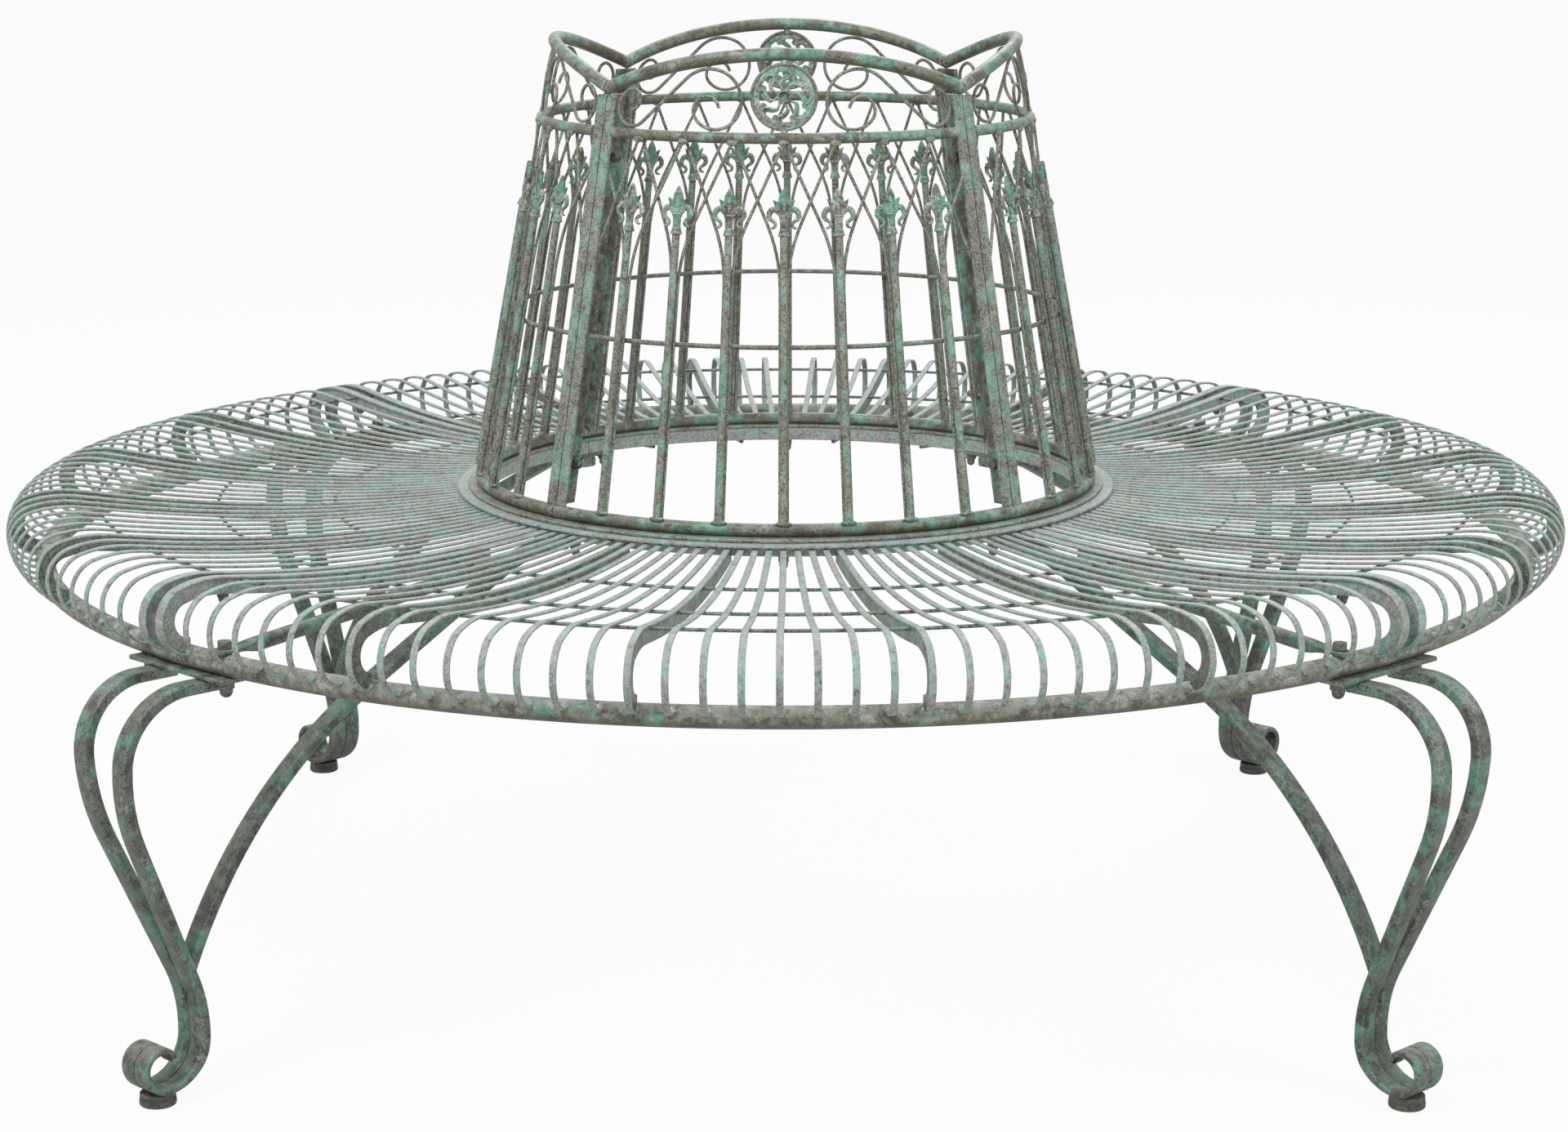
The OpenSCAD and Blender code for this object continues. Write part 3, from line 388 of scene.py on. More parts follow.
# Turns a flat design, drawn in X and Y, upright and facing outward
FACING_OUT = Matrix(((0, 0, 1, 0), (1, 0, 0, 0), (0, 1, 0, 0), (0, 0, 0, 1)))
UP = (0, 0, 1)
UPSIDE_DOWN = Matrix.Rotation(math.pi, 4, "X")


def cage_point(a, z, off):
    return np.array([(cage_r(z) + off) * cosd(a), (cage_r(z) + off) * sind(a), z])


# Heights and radii that follow from the sizes above
ring_top = ring_z + ring_h
strip_z = ring_top + weld
bottom_rail_z = strip_z + strip_t + weld + rail_d / 2
bottom_rail_r = ring_r + ring_w / 2 - 1
strip_r = bottom_rail_r + 3 - strip_w / 2
leg_plate_z = rim_z - rim_d / 2 - weld - leg_plate_t
ring_plate_z = ring_z - weld - ring_plate_t
stud_r = ring_r + ring_w / 2
post_clear = joint_gap + post_w + weld
post_z = bottom_rail_z + rail_d / 2 + weld
post_top_z = arch_end_z - rail_d / 2 * 1.05 - weld
lug_top = rim_z + rim_d / 2 + weld
wire_top_z = upper_rail_z - upper_rail_d / 2 - 0.5
wire_foot_z = post_z + wire_d / 2 * sind(cage_lean)

dish_end_r = low_r + dish_bend_r * sind(dish_slope)
dish_end_z = low_z + dish_bend_r * (1 - cosd(dish_slope))


# Inside its lowest circle a slat rises to seat its end under the flange
slat_in_rise = ring_top - flange_t - 0.25 - slat_t / 2 - low_z
slat_in_turn = 2 * math.degrees(math.atan(slat_in_rise / (low_r - slat_in_r)))
slat_in_bend_r = (low_r - slat_in_r) / sind(slat_in_turn)


def slat_z(r):
    if r < low_r:
        return low_z + slat_in_bend_r - math.sqrt(slat_in_bend_r ** 2 - (r - low_r) ** 2)
    if r < dish_end_r:
        return low_z + dish_bend_r - math.sqrt(dish_bend_r ** 2 - (r - low_r) ** 2)
    return dish_end_z + (r - dish_end_r) * tand(dish_slope)


def hoop_z(r):
    return slat_z(r) - (slat_t / 2 + weld + hoop_d / 2) / cosd(dish_slope)


HOOP_RADII = [low_r - 2, (low_r + dish_end_r) / 2 + 6.5, dish_end_r + 17]

# Leg and brace paths
LEG_LOW = [[foot_bend_r, 180, belly_heading], [belly_bend_r, belly_heading, weld_heading]]
LEG_TOP_BENDS = [[side_bend_r, weld_heading, side_heading], [shoulder_bend_r, side_heading, 180]]
FOOT_SCROLL = [[21, 0, 90], [16, 90, 180], [12.5, 180, 262]]
leg_start = (pad_r, pad_h + weld + scroll_bar_t / 2)
leg_weld_at = path_end(leg_start, LEG_LOW)
leg_top_side = (bar_w / 2 - bar_round) * sind(leg_splay)
leg_top_rise = (leg_plate_z - weld - leg_weld_at[1] - leg_top_side) / cosd(leg_splay) - bar_t / 2
leg_straight = (leg_top_rise - path_end((0, 0), LEG_TOP_BENDS)[1]) / sind(weld_heading)
leg_shoulder_r = leg_weld_at[0] + leg_straight * cosd(weld_heading) + path_end((0, 0), LEG_TOP_BENDS)[0]
leg_tail = leg_shoulder_r - (rim_r - leg_plate_w / 2 + 4)
LEG_TOP = [[leg_straight, weld_heading, weld_heading]] + LEG_TOP_BENDS + [[leg_tail, 180, 180]]
brace_start = (ring_r, ring_plate_z - weld - bar_t / 2)
BRACE_BENDS = [
    [brace_top_bend_r, 0, -brace_slope],
    [brace_straight, -brace_slope, -brace_slope], [brace_low_bend_r, -brace_slope, -80],
]
brace_flat = pad_r - brace_foot_off - ring_r - path_end((0, 0), BRACE_BENDS)[0]
BRACE = [[brace_flat, 0, 0]] + BRACE_BENDS
SCROLL_START = (-149, 820)
SCROLL = [
    [9.4, 0, 200], [16.9, 200, 403], [58.4, 403, 403],
    [33.7, 403, 336], [28.4, 336, 259], [23.5, 259, 127], [12.2, 127, -79],
]


def stud_angles():
    return [-(half_quarter - stud_angle), 0, half_quarter - stud_angle]


def tie_side(k):
    return -1 if k % 2 == 0 else 1


def rim_seat(k, side):
    return lug_top + (tie_lug_t + weld if side == tie_side(k) else 0)


# Seat

def slat_rows(in_r):
    start_heading = -math.degrees(math.asin((low_r - in_r) / slat_in_bend_r))
    return trace((in_r, slat_z(in_r)), [
        [slat_in_bend_r, start_heading, 0],
        [dish_bend_r, 0, dish_slope],
        [slat_straight, dish_slope, dish_slope],
        [crest_bend_r, dish_slope, dish_slope - crest_turn],
        [roll_bend_r, dish_slope - crest_turn, -180],
    ], most_step=26)


def until_rim(rows):
    """Keeps the rows up to where they meet the rim tube."""
    gap = np.hypot(rows[:, 0] - rim_r, rows[:, 1] - rim_z) - rim_d / 2
    inside = np.nonzero(gap < -rim_sink)[0]
    return rows[: inside[0] + 1] if len(inside) else rows


def seat_strip(shape, place, in_r, width, thickness, drop):
    """Strip or rib that follows the slats, a drop below their centreline."""
    rows = slat_rows(in_r)
    n = normals(rows)
    rows = rows.copy()
    rows[:, :2] -= drop * n
    rows = until_rim(rows)
    section = bar_section(thickness, width, min(0.9, width * 0.2), 2)
    shape.sweep(standing(rows), standing(normals(rows)), section, place)


def bead(shape, place, length, width, height):
    """Small weld bead, lying along X."""
    levels = [(-1, 0.15), (-0.8, 0.62), (-0.35, 0.96), (0.1, 1), (0.55, 0.85), (0.85, 0.5), (1, 0.12)]
    ring = unit_circle(8)
    rings = [
        np.c_[np.full(8, x * length / 2), ring[:, 0] * width / 2 * s, ring[:, 1] * height / 2 * s]
        for x, s in levels
    ]
    shape.rings(rings, place)


def rim_bead(shape, place, size):
    at_rim = move(rim_r + rim_bead_out, 0, rim_z + rim_bead_up) @ Matrix.Rotation(rim_bead_tilt, 4, "Y")
    bead(shape, place @ at_rim, *size)


def slats(q):
    shape = Shape()
    for i in range(-slats_each_side, slats_each_side + 1):
        place = at_quarter(q) @ turn(i * slat_pitch)
        seat_strip(shape, place, slat_in_r, slat_w, slat_t, 0)
        rim_bead(shape, place, SLAT_BEAD)
    return shape


def ribs(q):
    shape = Shape()
    for i in RIB_SLATS:
        place = at_quarter(q) @ turn(i * slat_pitch)
        seat_strip(shape, place, rib_in_r, rib_t, rib_h, slat_t / 2 + rib_h / 2)
    return shape


def end_strips(q):
    shape = Shape()
    for side in (-1, 1):
        place = (at_quarter(q) @ turn(side * half_quarter) @ move(0, -side * end_strip_off, 0)
                 @ turn(-side * end_strip_turn))
        seat_strip(shape, place, slat_in_r, end_strip_w, slat_t, 0)
        seat_strip(shape, place, end_rib_in_r, rib_t, rib_h, slat_t / 2 + rib_h / 2)
        rim_bead(shape, place, END_STRIP_BEAD)
    return shape


def half_angle(gap, radius):
    """Half the angle of a quarter, less a gap at its joint."""
    return half_quarter - math.degrees(math.asin(gap / radius))


def ring_of(radius, z, d, gap, sides=20):
    """Profile and half angle of a quarter of a round ring."""
    return round_section(d, sides) + np.array([radius, z]), half_angle(gap, radius)


def flat_ring(radius, z, width, thickness, edge):
    return soften([(radius, z), (radius + width, z), (radius + width, z + thickness), (radius, z + thickness)], edge)


def seat_rim(q):
    shape = Shape()
    profile, half = ring_of(rim_r, rim_z, rim_d, joint_gap, 28)
    shape.bent(profile, -half, half, at_quarter(q), 1)
    return shape


def seat_ring(q):
    shape = Shape()
    half = half_angle(joint_gap, ring_r)
    profile = soften([
        (ring_r, ring_z), (ring_r + ring_w, ring_z), (ring_r + ring_w, ring_top - flange_t),
        (ring_r + ring_w + flange_w, ring_top - flange_t), (ring_r + ring_w + flange_w, ring_top),
        (ring_r, ring_top),
    ], 0.8)
    shape.bent(profile, -half, half, at_quarter(q))
    return shape


def seat_hoops():
    shape = Shape()
    for q in range(4):
        for r in HOOP_RADII:
            profile, half = ring_of(r, hoop_z(r), hoop_d, end_strip_off + 2, 10)
            shape.bent(profile, -half, half, at_quarter(q))
    return shape


def seat_ties():
    """Round tie with its outer end hammered flat over the rim."""
    shape = Shape()
    lug_z = lug_top + tie_lug_t / 2
    start = np.array([ring_r + ring_w + weld, tie_in_z])
    flat_from = np.array([rim_r - 34, lug_z - 0.4])
    xs = [start[0], 400, 500, 600, flat_from[0], rim_r - 27, rim_r - 20, rim_r - 14, rim_r + 6, rim_r + 10, rim_r + 12]
    flatness = [0, 0, 0, 0, 0, 0.3, 0.75, 1, 1, 1, 1]
    trims = [0, 0, 0, 0, 0, 0, 0, 0, 0, -1.4, -4]
    for k in range(4):
        place = at_joint(k) @ turn(tie_side(k) * rim_bolt_angle)
        rings = []
        for x, f, trim in zip(xs, flatness, trims):
            g = min(1, (x - start[0]) / (flat_from[0] - start[0]))
            z = start[1] + (lug_z - start[1]) * g
            section = round_section(tie_d, 16) * (1 - f) + bar_section(tie_lug_t, tie_d + 3 + trim, 1.2) * f
            rings.append(np.c_[np.full(16, x), -section[:, 1], z + section[:, 0]])
        shape.rings(rings, place)
    return shape


def seat_tabs():
    shape = Shape()
    tab_l = 20
    tab_t = 3
    face = end_strip_off + tab_r * sind(end_strip_turn) - rib_t / 2 - weld
    top_z = slat_z(tab_r) - slat_t / 2 - weld - rib_h
    for k in range(4):
        for side in (-1, 1):
            low_y = -tab_l / 3 if side > 0 else -face + weld
            z = top_z + (weld + tab_t if side > 0 else 0)
            low = (tab_r - tab_l / 2, low_y, z)
            high = (tab_r + tab_l / 2, low_y + face - weld + tab_l / 3, z + tab_t)
            shape.block(low, high, at_joint(k))
    return shape


# Legs

def leg_rows():
    scroll = backwards(trace(leg_start, FOOT_SCROLL, 6))
    rise = trace(leg_start, LEG_LOW + LEG_TOP, 4)[1:]
    rows = np.vstack([scroll, rise])
    up = (rows[:, 1] - leg_start[1]) / foot_bend_r * 2
    thickness = scroll_bar_t + (bar_t - scroll_bar_t) * np.clip(up, 0, 1)
    thickness[: len(scroll)] = scroll_bar_t
    return rows, thickness


def leg(k):
    shape = Shape()
    rows, thickness = leg_rows()
    up = rows[:, 1] - leg_weld_at[1]
    ease = 16  # half height over which the two bars begin to part
    spread = np.where(up > ease, up, np.where(up < -ease, 0, (up + ease) ** 2 / (4 * ease)))
    for side in (-1, 1):
        across = side * ((bar_w + twin_gap) / 2 + spread * sind(leg_splay))
        z = leg_weld_at[1] + np.where(up > 0, up * cosd(leg_splay), up)
        points = np.c_[rows[:, 0], across, z]
        sections = [bar_section(t, bar_w, min(bar_round, t * 0.36)) for t in thickness]
        shape.sweep(points, standing(normals(rows)), sections, at_joint(k))
    for z in LEG_BEAD_HEIGHTS:
        at_weld = move(leg_weld_at[0] - 1, 0, leg_weld_at[1] + z) @ Matrix.Rotation(leg_bead_tilt, 4, "Y")
        bead(shape, at_joint(k) @ at_weld, *LEG_BEAD)
    return shape


def leg_braces():
    shape = Shape()
    rows = trace(brace_start, BRACE, 3, 3)
    side = trace(leg_start, LEG_LOW + LEG_TOP, 2, 3)[:, :2]
    reach = np.hypot(rows[:, None, 0] - side[:, 0], rows[:, None, 1] - side[:, 1]).min(1)
    touch = 2.5
    belly_top_z = 300
    met = np.nonzero((reach < touch) & (rows[:, 1] < belly_top_z))[0][0]
    rows = np.vstack([rows[:met:6], rows[met:met + 1]])
    section = bar_section(bar_t, bar_w, bar_round)
    for k in range(4):
        shape.sweep(standing(rows), standing(normals(rows)), section, at_joint(k))
    return shape


def leg_plates():
    shape = Shape()
    for k in range(4):
        low = (rim_r - leg_plate_w / 2, -leg_plate_l / 2, leg_plate_z)
        high = (rim_r + leg_plate_w / 2, leg_plate_l / 2, leg_plate_z + leg_plate_t)
        shape.block(low, high, at_joint(k), 0.8)
    return shape


def ring_plates():
    shape = Shape()
    half = stud_angle + 1.1
    profile = flat_ring(ring_r, ring_plate_z, ring_w, ring_plate_t, 0.6)
    for k in range(4):
        shape.bent(profile, -half, half, at_joint(k))
    return shape


def foot_pads():
    shape = Shape()
    r = pad_d / 2
    profile = [(0, 0), (r - 2, 0), (r - 1.2, 0.25), (r - 0.4, 0.9), (r, 2), (r, 5), (r - 0.5, 7),
               (r - 0.5, pad_h - 1.4), (r - 1, pad_h - 0.5), (r - 2.2, pad_h), (0, pad_h)]
    for k in range(4):
        shape.turned(profile, at_joint(k) @ move(pad_r, 0, 0), 40)
    return shape


# Back panels

def post_outline(side):
    """Angle section beside a joint plane, drawn in X outward and Y across."""
    outer = post_face_off
    inner = outer - post_depth
    ys = [joint_gap, joint_gap + post_t, joint_gap + post_w]
    outline = [
        (inner, ys[0]), (outer, ys[0]), (outer, ys[2]), (outer - post_t, ys[2]),
        (outer - post_t, ys[1]), (inner, ys[1]),
    ]
    if side > 0:
        return [(x, -y) for x, y in reversed(outline)]
    return outline


def back_posts(q):
    shape = Shape()
    for side in (-1, 1):
        outline = soften(post_outline(side), 0.6)
        rings = []
        for z in np.linspace(post_z, post_top_z, 12):
            rings.append(np.c_[outline[:, 0] + cage_r(z), outline[:, 1], np.full(len(outline), z)])
        shape.rings(rings, at_quarter(q) @ turn(side * half_quarter))
    return shape


def arch_points():
    """Middle line of the arch, a circle in a leaning plane."""
    end = cage_r(arch_end_z) / math.sqrt(2)
    run = cage_r(arch_top_z) - end
    climb = arch_top_z - arch_end_z
    rise = math.hypot(run, climb)
    radius = (end ** 2 + rise ** 2) / (2 * rise)
    lean = math.atan2(climb, run)
    half = math.asin(end / radius)
    a = np.linspace(-half, half, 61)
    back = radius * np.cos(a) - radius
    return np.c_[
        cage_r(arch_top_z) + back * math.cos(lean), radius * np.sin(a), arch_top_z + back * math.sin(lean)
    ]


def back_rails(q):
    shape = Shape()
    place = at_quarter(q)
    half = half_angle(joint_gap, strip_r)
    shape.bent(flat_ring(strip_r, strip_z, strip_w, strip_t, 0.8), -half, half, place)
    profile, half = ring_of(bottom_rail_r, bottom_rail_z, rail_d, joint_gap)
    shape.bent(profile, -half, half, place)
    profile, half = ring_of(cage_r(upper_rail_z), upper_rail_z, upper_rail_d, post_clear)
    shape.bent(profile, -half, half, place)
    shape.rings(mitred_tube(arch_points(), rail_d), place)
    return shape


def mitred_tube(points, d):
    """Round bar whose ends are cut along the joint planes of its quarter."""
    way = np.gradient(points, axis=0)
    way /= np.linalg.norm(way, axis=1)[:, None]
    u = np.array([0, 0, 1]) - way * way[:, 2:]
    u /= np.linalg.norm(u, axis=1)[:, None]
    v = np.cross(way, u)
    ring = round_section(d, 20)
    rings = points[:, None] + ring[None, :, :1] * u[:, None] + ring[None, :, 1:] * v[:, None]
    for side, i in ((-1, 0), (1, -1)):
        plane = np.array([1, -side, 0]) / math.sqrt(2)
        short = rings[i] @ plane - joint_gap
        rings[i] -= (short / (way[i] @ plane))[:, None] * way[i]
    return rings


def back_hoops():
    shape = Shape()
    r = cage_r(mid_hoop_z) + wire_off - (wire_d + mid_hoop_d) / 2 / cosd(cage_lean) - weld
    profile, half = ring_of(r, mid_hoop_z, mid_hoop_d, post_clear, 14)
    for q in range(4):
        shape.bent(profile, -half, half, at_quarter(q))
    return shape


def back_uprights(q):
    shape = Shape()
    foot_z = post_z + upright_d / 2 * sind(cage_lean)
    height = (finial_z - foot_z) / cosd(cage_lean)
    for i in range(-uprights_each_side, uprights_each_side + 1):
        place = at_quarter(q) @ on_cage(i * upright_pitch, foot_z, upright_off)
        radius = upright_d / 2
        shape.turned([(radius, 0), (radius, height * 0.33), (radius, height * 0.66), (radius, height)], place, 16)
        bead(shape, place @ move(-1, 0, -0.4) @ turn(90), 15, 8.5, 5)
    return shape


def lattice_wire(shape, place, from_a, to_a, to_z, to_off):
    """Wire beside an upright that bends towards a point at another angle."""
    start_r = cage_r(wire_foot_z) + wire_off
    end_r = cage_r(to_z) + to_off
    a = to_a - from_a
    v = (end_r * cosd(a) - start_r, end_r * sind(a) - wire_side, to_z - wire_foot_z)
    out = v[0] * cosd(cage_lean) + v[2] * sind(cage_lean)
    up = v[2] * cosd(cage_lean) - v[0] * sind(cage_lean)
    across = math.hypot(out, v[1])
    low = (split_z - wire_foot_z) / cosd(cage_lean)
    dx = across - wire_bend_r
    dy = up - low
    tail = math.sqrt(dx * dx + dy * dy - wire_bend_r ** 2)
    bend = math.degrees(math.atan2(tail, -wire_bend_r) - math.atan2(dy, dx))
    rows = trace((0, 0), [[low, 90, 90], [wire_bend_r, 90, 90 - bend], [tail, 90 - bend, 90 - bend]], 4, 60)
    local = np.c_[rows[:, 0] * out / across, rows[:, 0] * v[1] / across, rows[:, 1]]
    place = (place @ turn(from_a) @ move(start_r, wire_side, wire_foot_z)
             @ Matrix.Rotation(math.radians(-cage_lean), 4, "Y"))
    shape.sweep(local, (1, 0, 0), round_section(wire_d, 10), place)


def back_lattice(q):
    shape = Shape()
    last = uprights_each_side
    post_a = half_angle(post_clear, cage_r(post_wire_z)) + 0.4
    short_a = half_angle(post_clear, cage_r(short_wire_z)) + 0.4
    for side in (-1, 1):
        half = Shape()
        none = Matrix.Identity(4)
        for i in range(-last, last):
            lattice_wire(half, none, i * upright_pitch, (i + 1) * upright_pitch, wire_top_z + 2, side * wire_pass)
        lattice_wire(half, none, last * upright_pitch, post_a, post_wire_z, side * wire_pass * 0.75)
        low = cage_point(short_a, short_wire_z, -side * wire_pass * 0.6)
        top = cage_point(last * upright_pitch, wire_top_z + 2, -side * wire_pass)
        half.sweep(np.linspace(low, top, 5), (1, 0, 0), round_section(wire_d, 10))
        add_copy(shape, half, at_quarter(q), side < 0)
    for i in range(-last, last + 1):
        blob = at_quarter(q) @ on_cage(i * upright_pitch, wire_top_z + 1.6, 3.4) @ turn(90)
        bead(shape, blob, 10 + i % 2, 5.6, 6.4)
    return shape


def add_copy(shape, other, place, mirrored, mirror=(1, -1, 1)):
    """Adds another shape, turned and if asked mirrored across the quarter's middle."""
    points = np.vstack(other.points)
    if mirrored:
        points = points * np.array(mirror)
    t = np.array(place)
    shape.points.append(points @ t[:3, :3].T + t[:3, 3])
    for face in other.faces:
        face = tuple(shape.count + i for i in face)
        shape.faces.append(face[::-1] if mirrored else face)
    shape.count += len(points)


def back_scrolls(q):
    shape = Shape()
    rows = trace(SCROLL_START, SCROLL, 7)
    points = np.array([cage_point(math.degrees(x / scroll_unroll_r), z, 0) for x, z, _ in rows])
    out = np.c_[points[:, :2], np.hypot(points[:, 0], points[:, 1]) * tand(cage_lean)]
    half = Shape()
    half.sweep(points, out, round_section(scroll_d, 12))
    for mirrored in (False, True):
        add_copy(shape, half, at_quarter(q), mirrored)
    return shape


# Castings

def blade(shape, place, rows, thickness):
    """Leaf of lens section along rows of x, y, half width and groove, drawn in X and Y."""
    rows = np.asarray(rows, dtype=float)
    way = np.gradient(rows[:, :2], axis=0)
    way /= np.linalg.norm(way, axis=1)[:, None]
    left = np.c_[-way[:, 1], way[:, 0]]
    rings = []
    for (x, y, half, groove), side in zip(rows, left):
        section = [
            (-1, 0), (-0.8, -0.62), (-0.36, -0.9), (0, -1), (0.36, -0.9), (0.8, -0.62), (1, 0), (0.8, 0.62),
            (0.36, 0.97), (0.24, 1 - groove), (0, 1 - groove * 1.15), (-0.24, 1 - groove), (-0.36, 0.97),
            (-0.8, 0.62),
        ]
        thick = thickness / 2 * min(1, 0.35 + half / 2)
        rings.append([(x - side[0] * a * half, y - side[1] * a * half, b * thick) for a, b in section])
    shape.rings(rings, place)


def smooth(points, steps):
    """Passes a smooth curve through a few points."""
    points = np.asarray(points, dtype=float)
    padded = np.vstack([2 * points[0] - points[1], points, 2 * points[-1] - points[-2]])
    out = []
    for i in range(1, len(padded) - 2):
        p0, p1, p2, p3 = padded[i - 1:i + 3]
        for k in range(steps):
            t = k / steps
            out.append(0.5 * (2 * p1 + (p2 - p0) * t + (2 * p0 - 5 * p1 + 4 * p2 - p3) * t ** 2
                              + (3 * p1 - p0 - 3 * p2 + p3) * t ** 3))
    out.append(points[-1])
    return np.array(out)


# Collar as radius and height. Stem, leaf and leaflet as rows of blade(). Body and arm as plain outlines
FINIAL_COLLAR = [(4.6, 0), (5.2, 0.3), (5.2, 1.3), (4.9, 2.1), (4.5, 3.1), (4.2, 4.3), (4.0, 5.3), (3.8, 6.2),
                 (3.2, 6.8)]
FINIAL_BODY_SIDE = [(3.7, 15), (5.0, 18.6), (7.6, 20.8), (8.6, 23.2), (7.4, 26.2), (6.4, 28.2), (5.3, 31)]
FINIAL_BODY = ([(-3.3, 6), (3.3, 6)] + FINIAL_BODY_SIDE + [(3.6, 34.5), (-3.6, 34.5)]
               + [(-x, y) for x, y in reversed(FINIAL_BODY_SIDE)])
FINIAL_STEM = [(0, 5.4, 3.4, 0), (0, 7.6, 3.5, 0), (0, 11, 3.3, 0.1), (0, 14.5, 3.3, 0.15), (0, 17, 3.8, 0),
               (0, 18.6, 4.2, 0), (0, 20, 4.0, 0)]
FINIAL_LEAF = [(0, 18.6, 3.8, 0), (0, 20.6, 4.3, 0.05), (0, 22.8, 4.9, 0.3), (0, 26, 5.4, 0.65), (0, 30, 5.4, 0.75),
               (0, 33.6, 5.0, 0.6), (0, 36.2, 4.4, 0.25), (0, 38.6, 3.2, 0.1), (0, 41.2, 1.6, 0), (0, 43.3, 0.3, 0)]
FINIAL_LEAFLET = [(4.4, 25, 1.6, 0), (5.8, 27.6, 2.3, 0.3), (7.4, 30.2, 1.8, 0.3), (9.8, 33, 0.2, 0)]
FINIAL_ARM = [(2.6, 20.4), (4.6, 22.8), (7, 24.2), (10, 24.0), (12.2, 22.2), (13.2, 19.5), (13.1, 17.2), (12, 15.4),
              (9.7, 13.8), (7.9, 12), (7.7, 9.8), (9.2, 8.0), (11.8, 7.4)]
FINIAL_ARM_WIDTH = [4.6, 5.2, 5.6, 5.6, 5.3, 5.0, 4.6, 4.0, 3.4, 3.0, 2.9, 2.7, 1.6]


def finial(shape, place):
    shape.turned(FINIAL_COLLAR, place, 16)
    face = place @ move(0.2, 0, 0) @ FACING_OUT
    shape.prism(FINIAL_BODY, -1.3, 1.3, face, 0.4)
    blade(shape, face, FINIAL_STEM, 4.4)
    blade(shape, face, smooth(FINIAL_LEAF, 2), 4.8)
    shape.block((-4.4, 17.1, -2.8), (4.4, 19.1, 2.8), face, 0.7)
    half = Shape()
    blade(half, None, smooth(FINIAL_LEAFLET, 3), 3.6)
    arm = smooth(np.c_[FINIAL_ARM, FINIAL_ARM_WIDTH], 8)
    run = np.r_[0, np.cumsum(np.linalg.norm(np.diff(arm[:, :2], axis=0), axis=1))]
    beads = 1 + 0.07 * np.sin(run * 2 * math.pi / 3.1) * np.clip(3 - 4 * run / run[-1], 0, 1)
    sections = [unit_circle(12) * (min(2.0, 0.9 + w * 0.22) * b, w / 2 * b) for w, b in zip(arm[:, 2], beads)]
    half.sweep(np.c_[arm[:, :2], np.zeros(len(arm))], UP, sections)
    for mirrored in (False, True):
        add_copy(shape, half, face, mirrored, (-1, 1, 1))


def back_finials(q):
    shape = Shape()
    for i in range(-uprights_each_side, uprights_each_side + 1):
        place = at_quarter(q) @ on_cage(i * upright_pitch, finial_z, upright_off)
        finial(shape, place)
    return shape


def hoop_points(radius, count):
    return np.c_[unit_circle(count) * radius, np.zeros(count)]


# Rosette, with Z outward. Boss and bud as radius and height
RING_WIRE = 3.5
ROSETTE_SPOKES = 8
ROSETTE_RAYS = 16
SPOKE_SWAY = 17
WEB_TURN = 0.09
BUD_IN = 7.2
ROSETTE_BOSS = [(0, -2.2), (5.2, -2.0), (5.9, -0.8), (6.0, 1.2), (5.8, 2.8), (5.2, 3.5), (4.6, 3.4), (4.2, 2.2),
                (3.4, 0.9), (1.8, 0.4), (0, 0.3)]
ROSETTE_BUD = [(0, -0.8), (1.3, -0.5), (1.4, 0.5), (0.9, 1.1), (0, 1.3)]
BUD_NECK_WIDTHS = (1.3, 1.4, 1.7, 2.0, 2.2)


def polar(r, a, z):
    return np.c_[r * np.cos(a), r * np.sin(a), np.full(len(r), z)]


def ovals(thickness, widths, sides=12):
    return [unit_circle(sides) * (thickness, w) for w in widths]


def rosette(shape, place):
    """Swirling cast disc, drawn in X and Y."""
    disc_r = rosette_d / 2 - RING_WIRE + 0.3
    bud_r = disc_r - BUD_IN
    shape.sweep(hoop_points(disc_r - 2.5, 64), UP, bar_section(2.4, 5.2, 0.8, 2), place, True)
    r = np.linspace(5, disc_r - 2, 17)
    f = (r - r[0]) / (r[-1] - r[0])
    sway = SPOKE_SWAY * np.sin(f * 2 * math.pi)
    for k in range(ROSETTE_SPOKES):
        a = np.radians(k * 360 / ROSETTE_SPOKES + sway)
        shape.sweep(polar(r, a, 0.9), UP, ovals(1.3, 1.0 + 0.3 * f), place)
        web = polar(r, a + WEB_TURN, -0.7)[5:]
        swell = 1.1 + 1.5 * np.sin(np.linspace(0, math.pi, len(web)))
        shape.sweep(web, UP, ovals(0.8, swell), place)
        mid = math.radians((k + 0.52) * 360 / ROSETTE_SPOKES)
        bud = place @ move(bud_r * math.cos(mid), bud_r * math.sin(mid), 0.2)
        shape.sweep(hoop_points(2.3, 20), UP, round_section(1.9, 10), bud, True)
        shape.turned(ROSETTE_BUD, bud, 12)
        out, lag = np.linspace((0.8, 0.02), (4.8, 0.14), 5).T
        shape.sweep(polar(bud_r + out, mid + lag, -0.3), UP, ovals(0.8, BUD_NECK_WIDTHS), place)
    shape.turned(ROSETTE_BOSS, place, 32)
    for k in range(ROSETTE_RAYS):
        a = math.radians(k * 360 / ROSETTE_RAYS)
        ray = polar(np.array([5.4, 7.6]), a, 0.5)
        shape.sweep(ray, UP, [unit_circle(10) * (1.1, 0.9), unit_circle(10) * (0.5, 0.4)], place)


def rosette_rings():
    shape = Shape()
    for q in range(4):
        place = at_quarter(q) @ on_cage(0, rosette_z, 0) @ FACING_OUT
        wire = hoop_points((rosette_d - RING_WIRE) / 2, 72)
        shape.sweep(wire, UP, round_section(RING_WIRE, 14), place, True)
    return shape


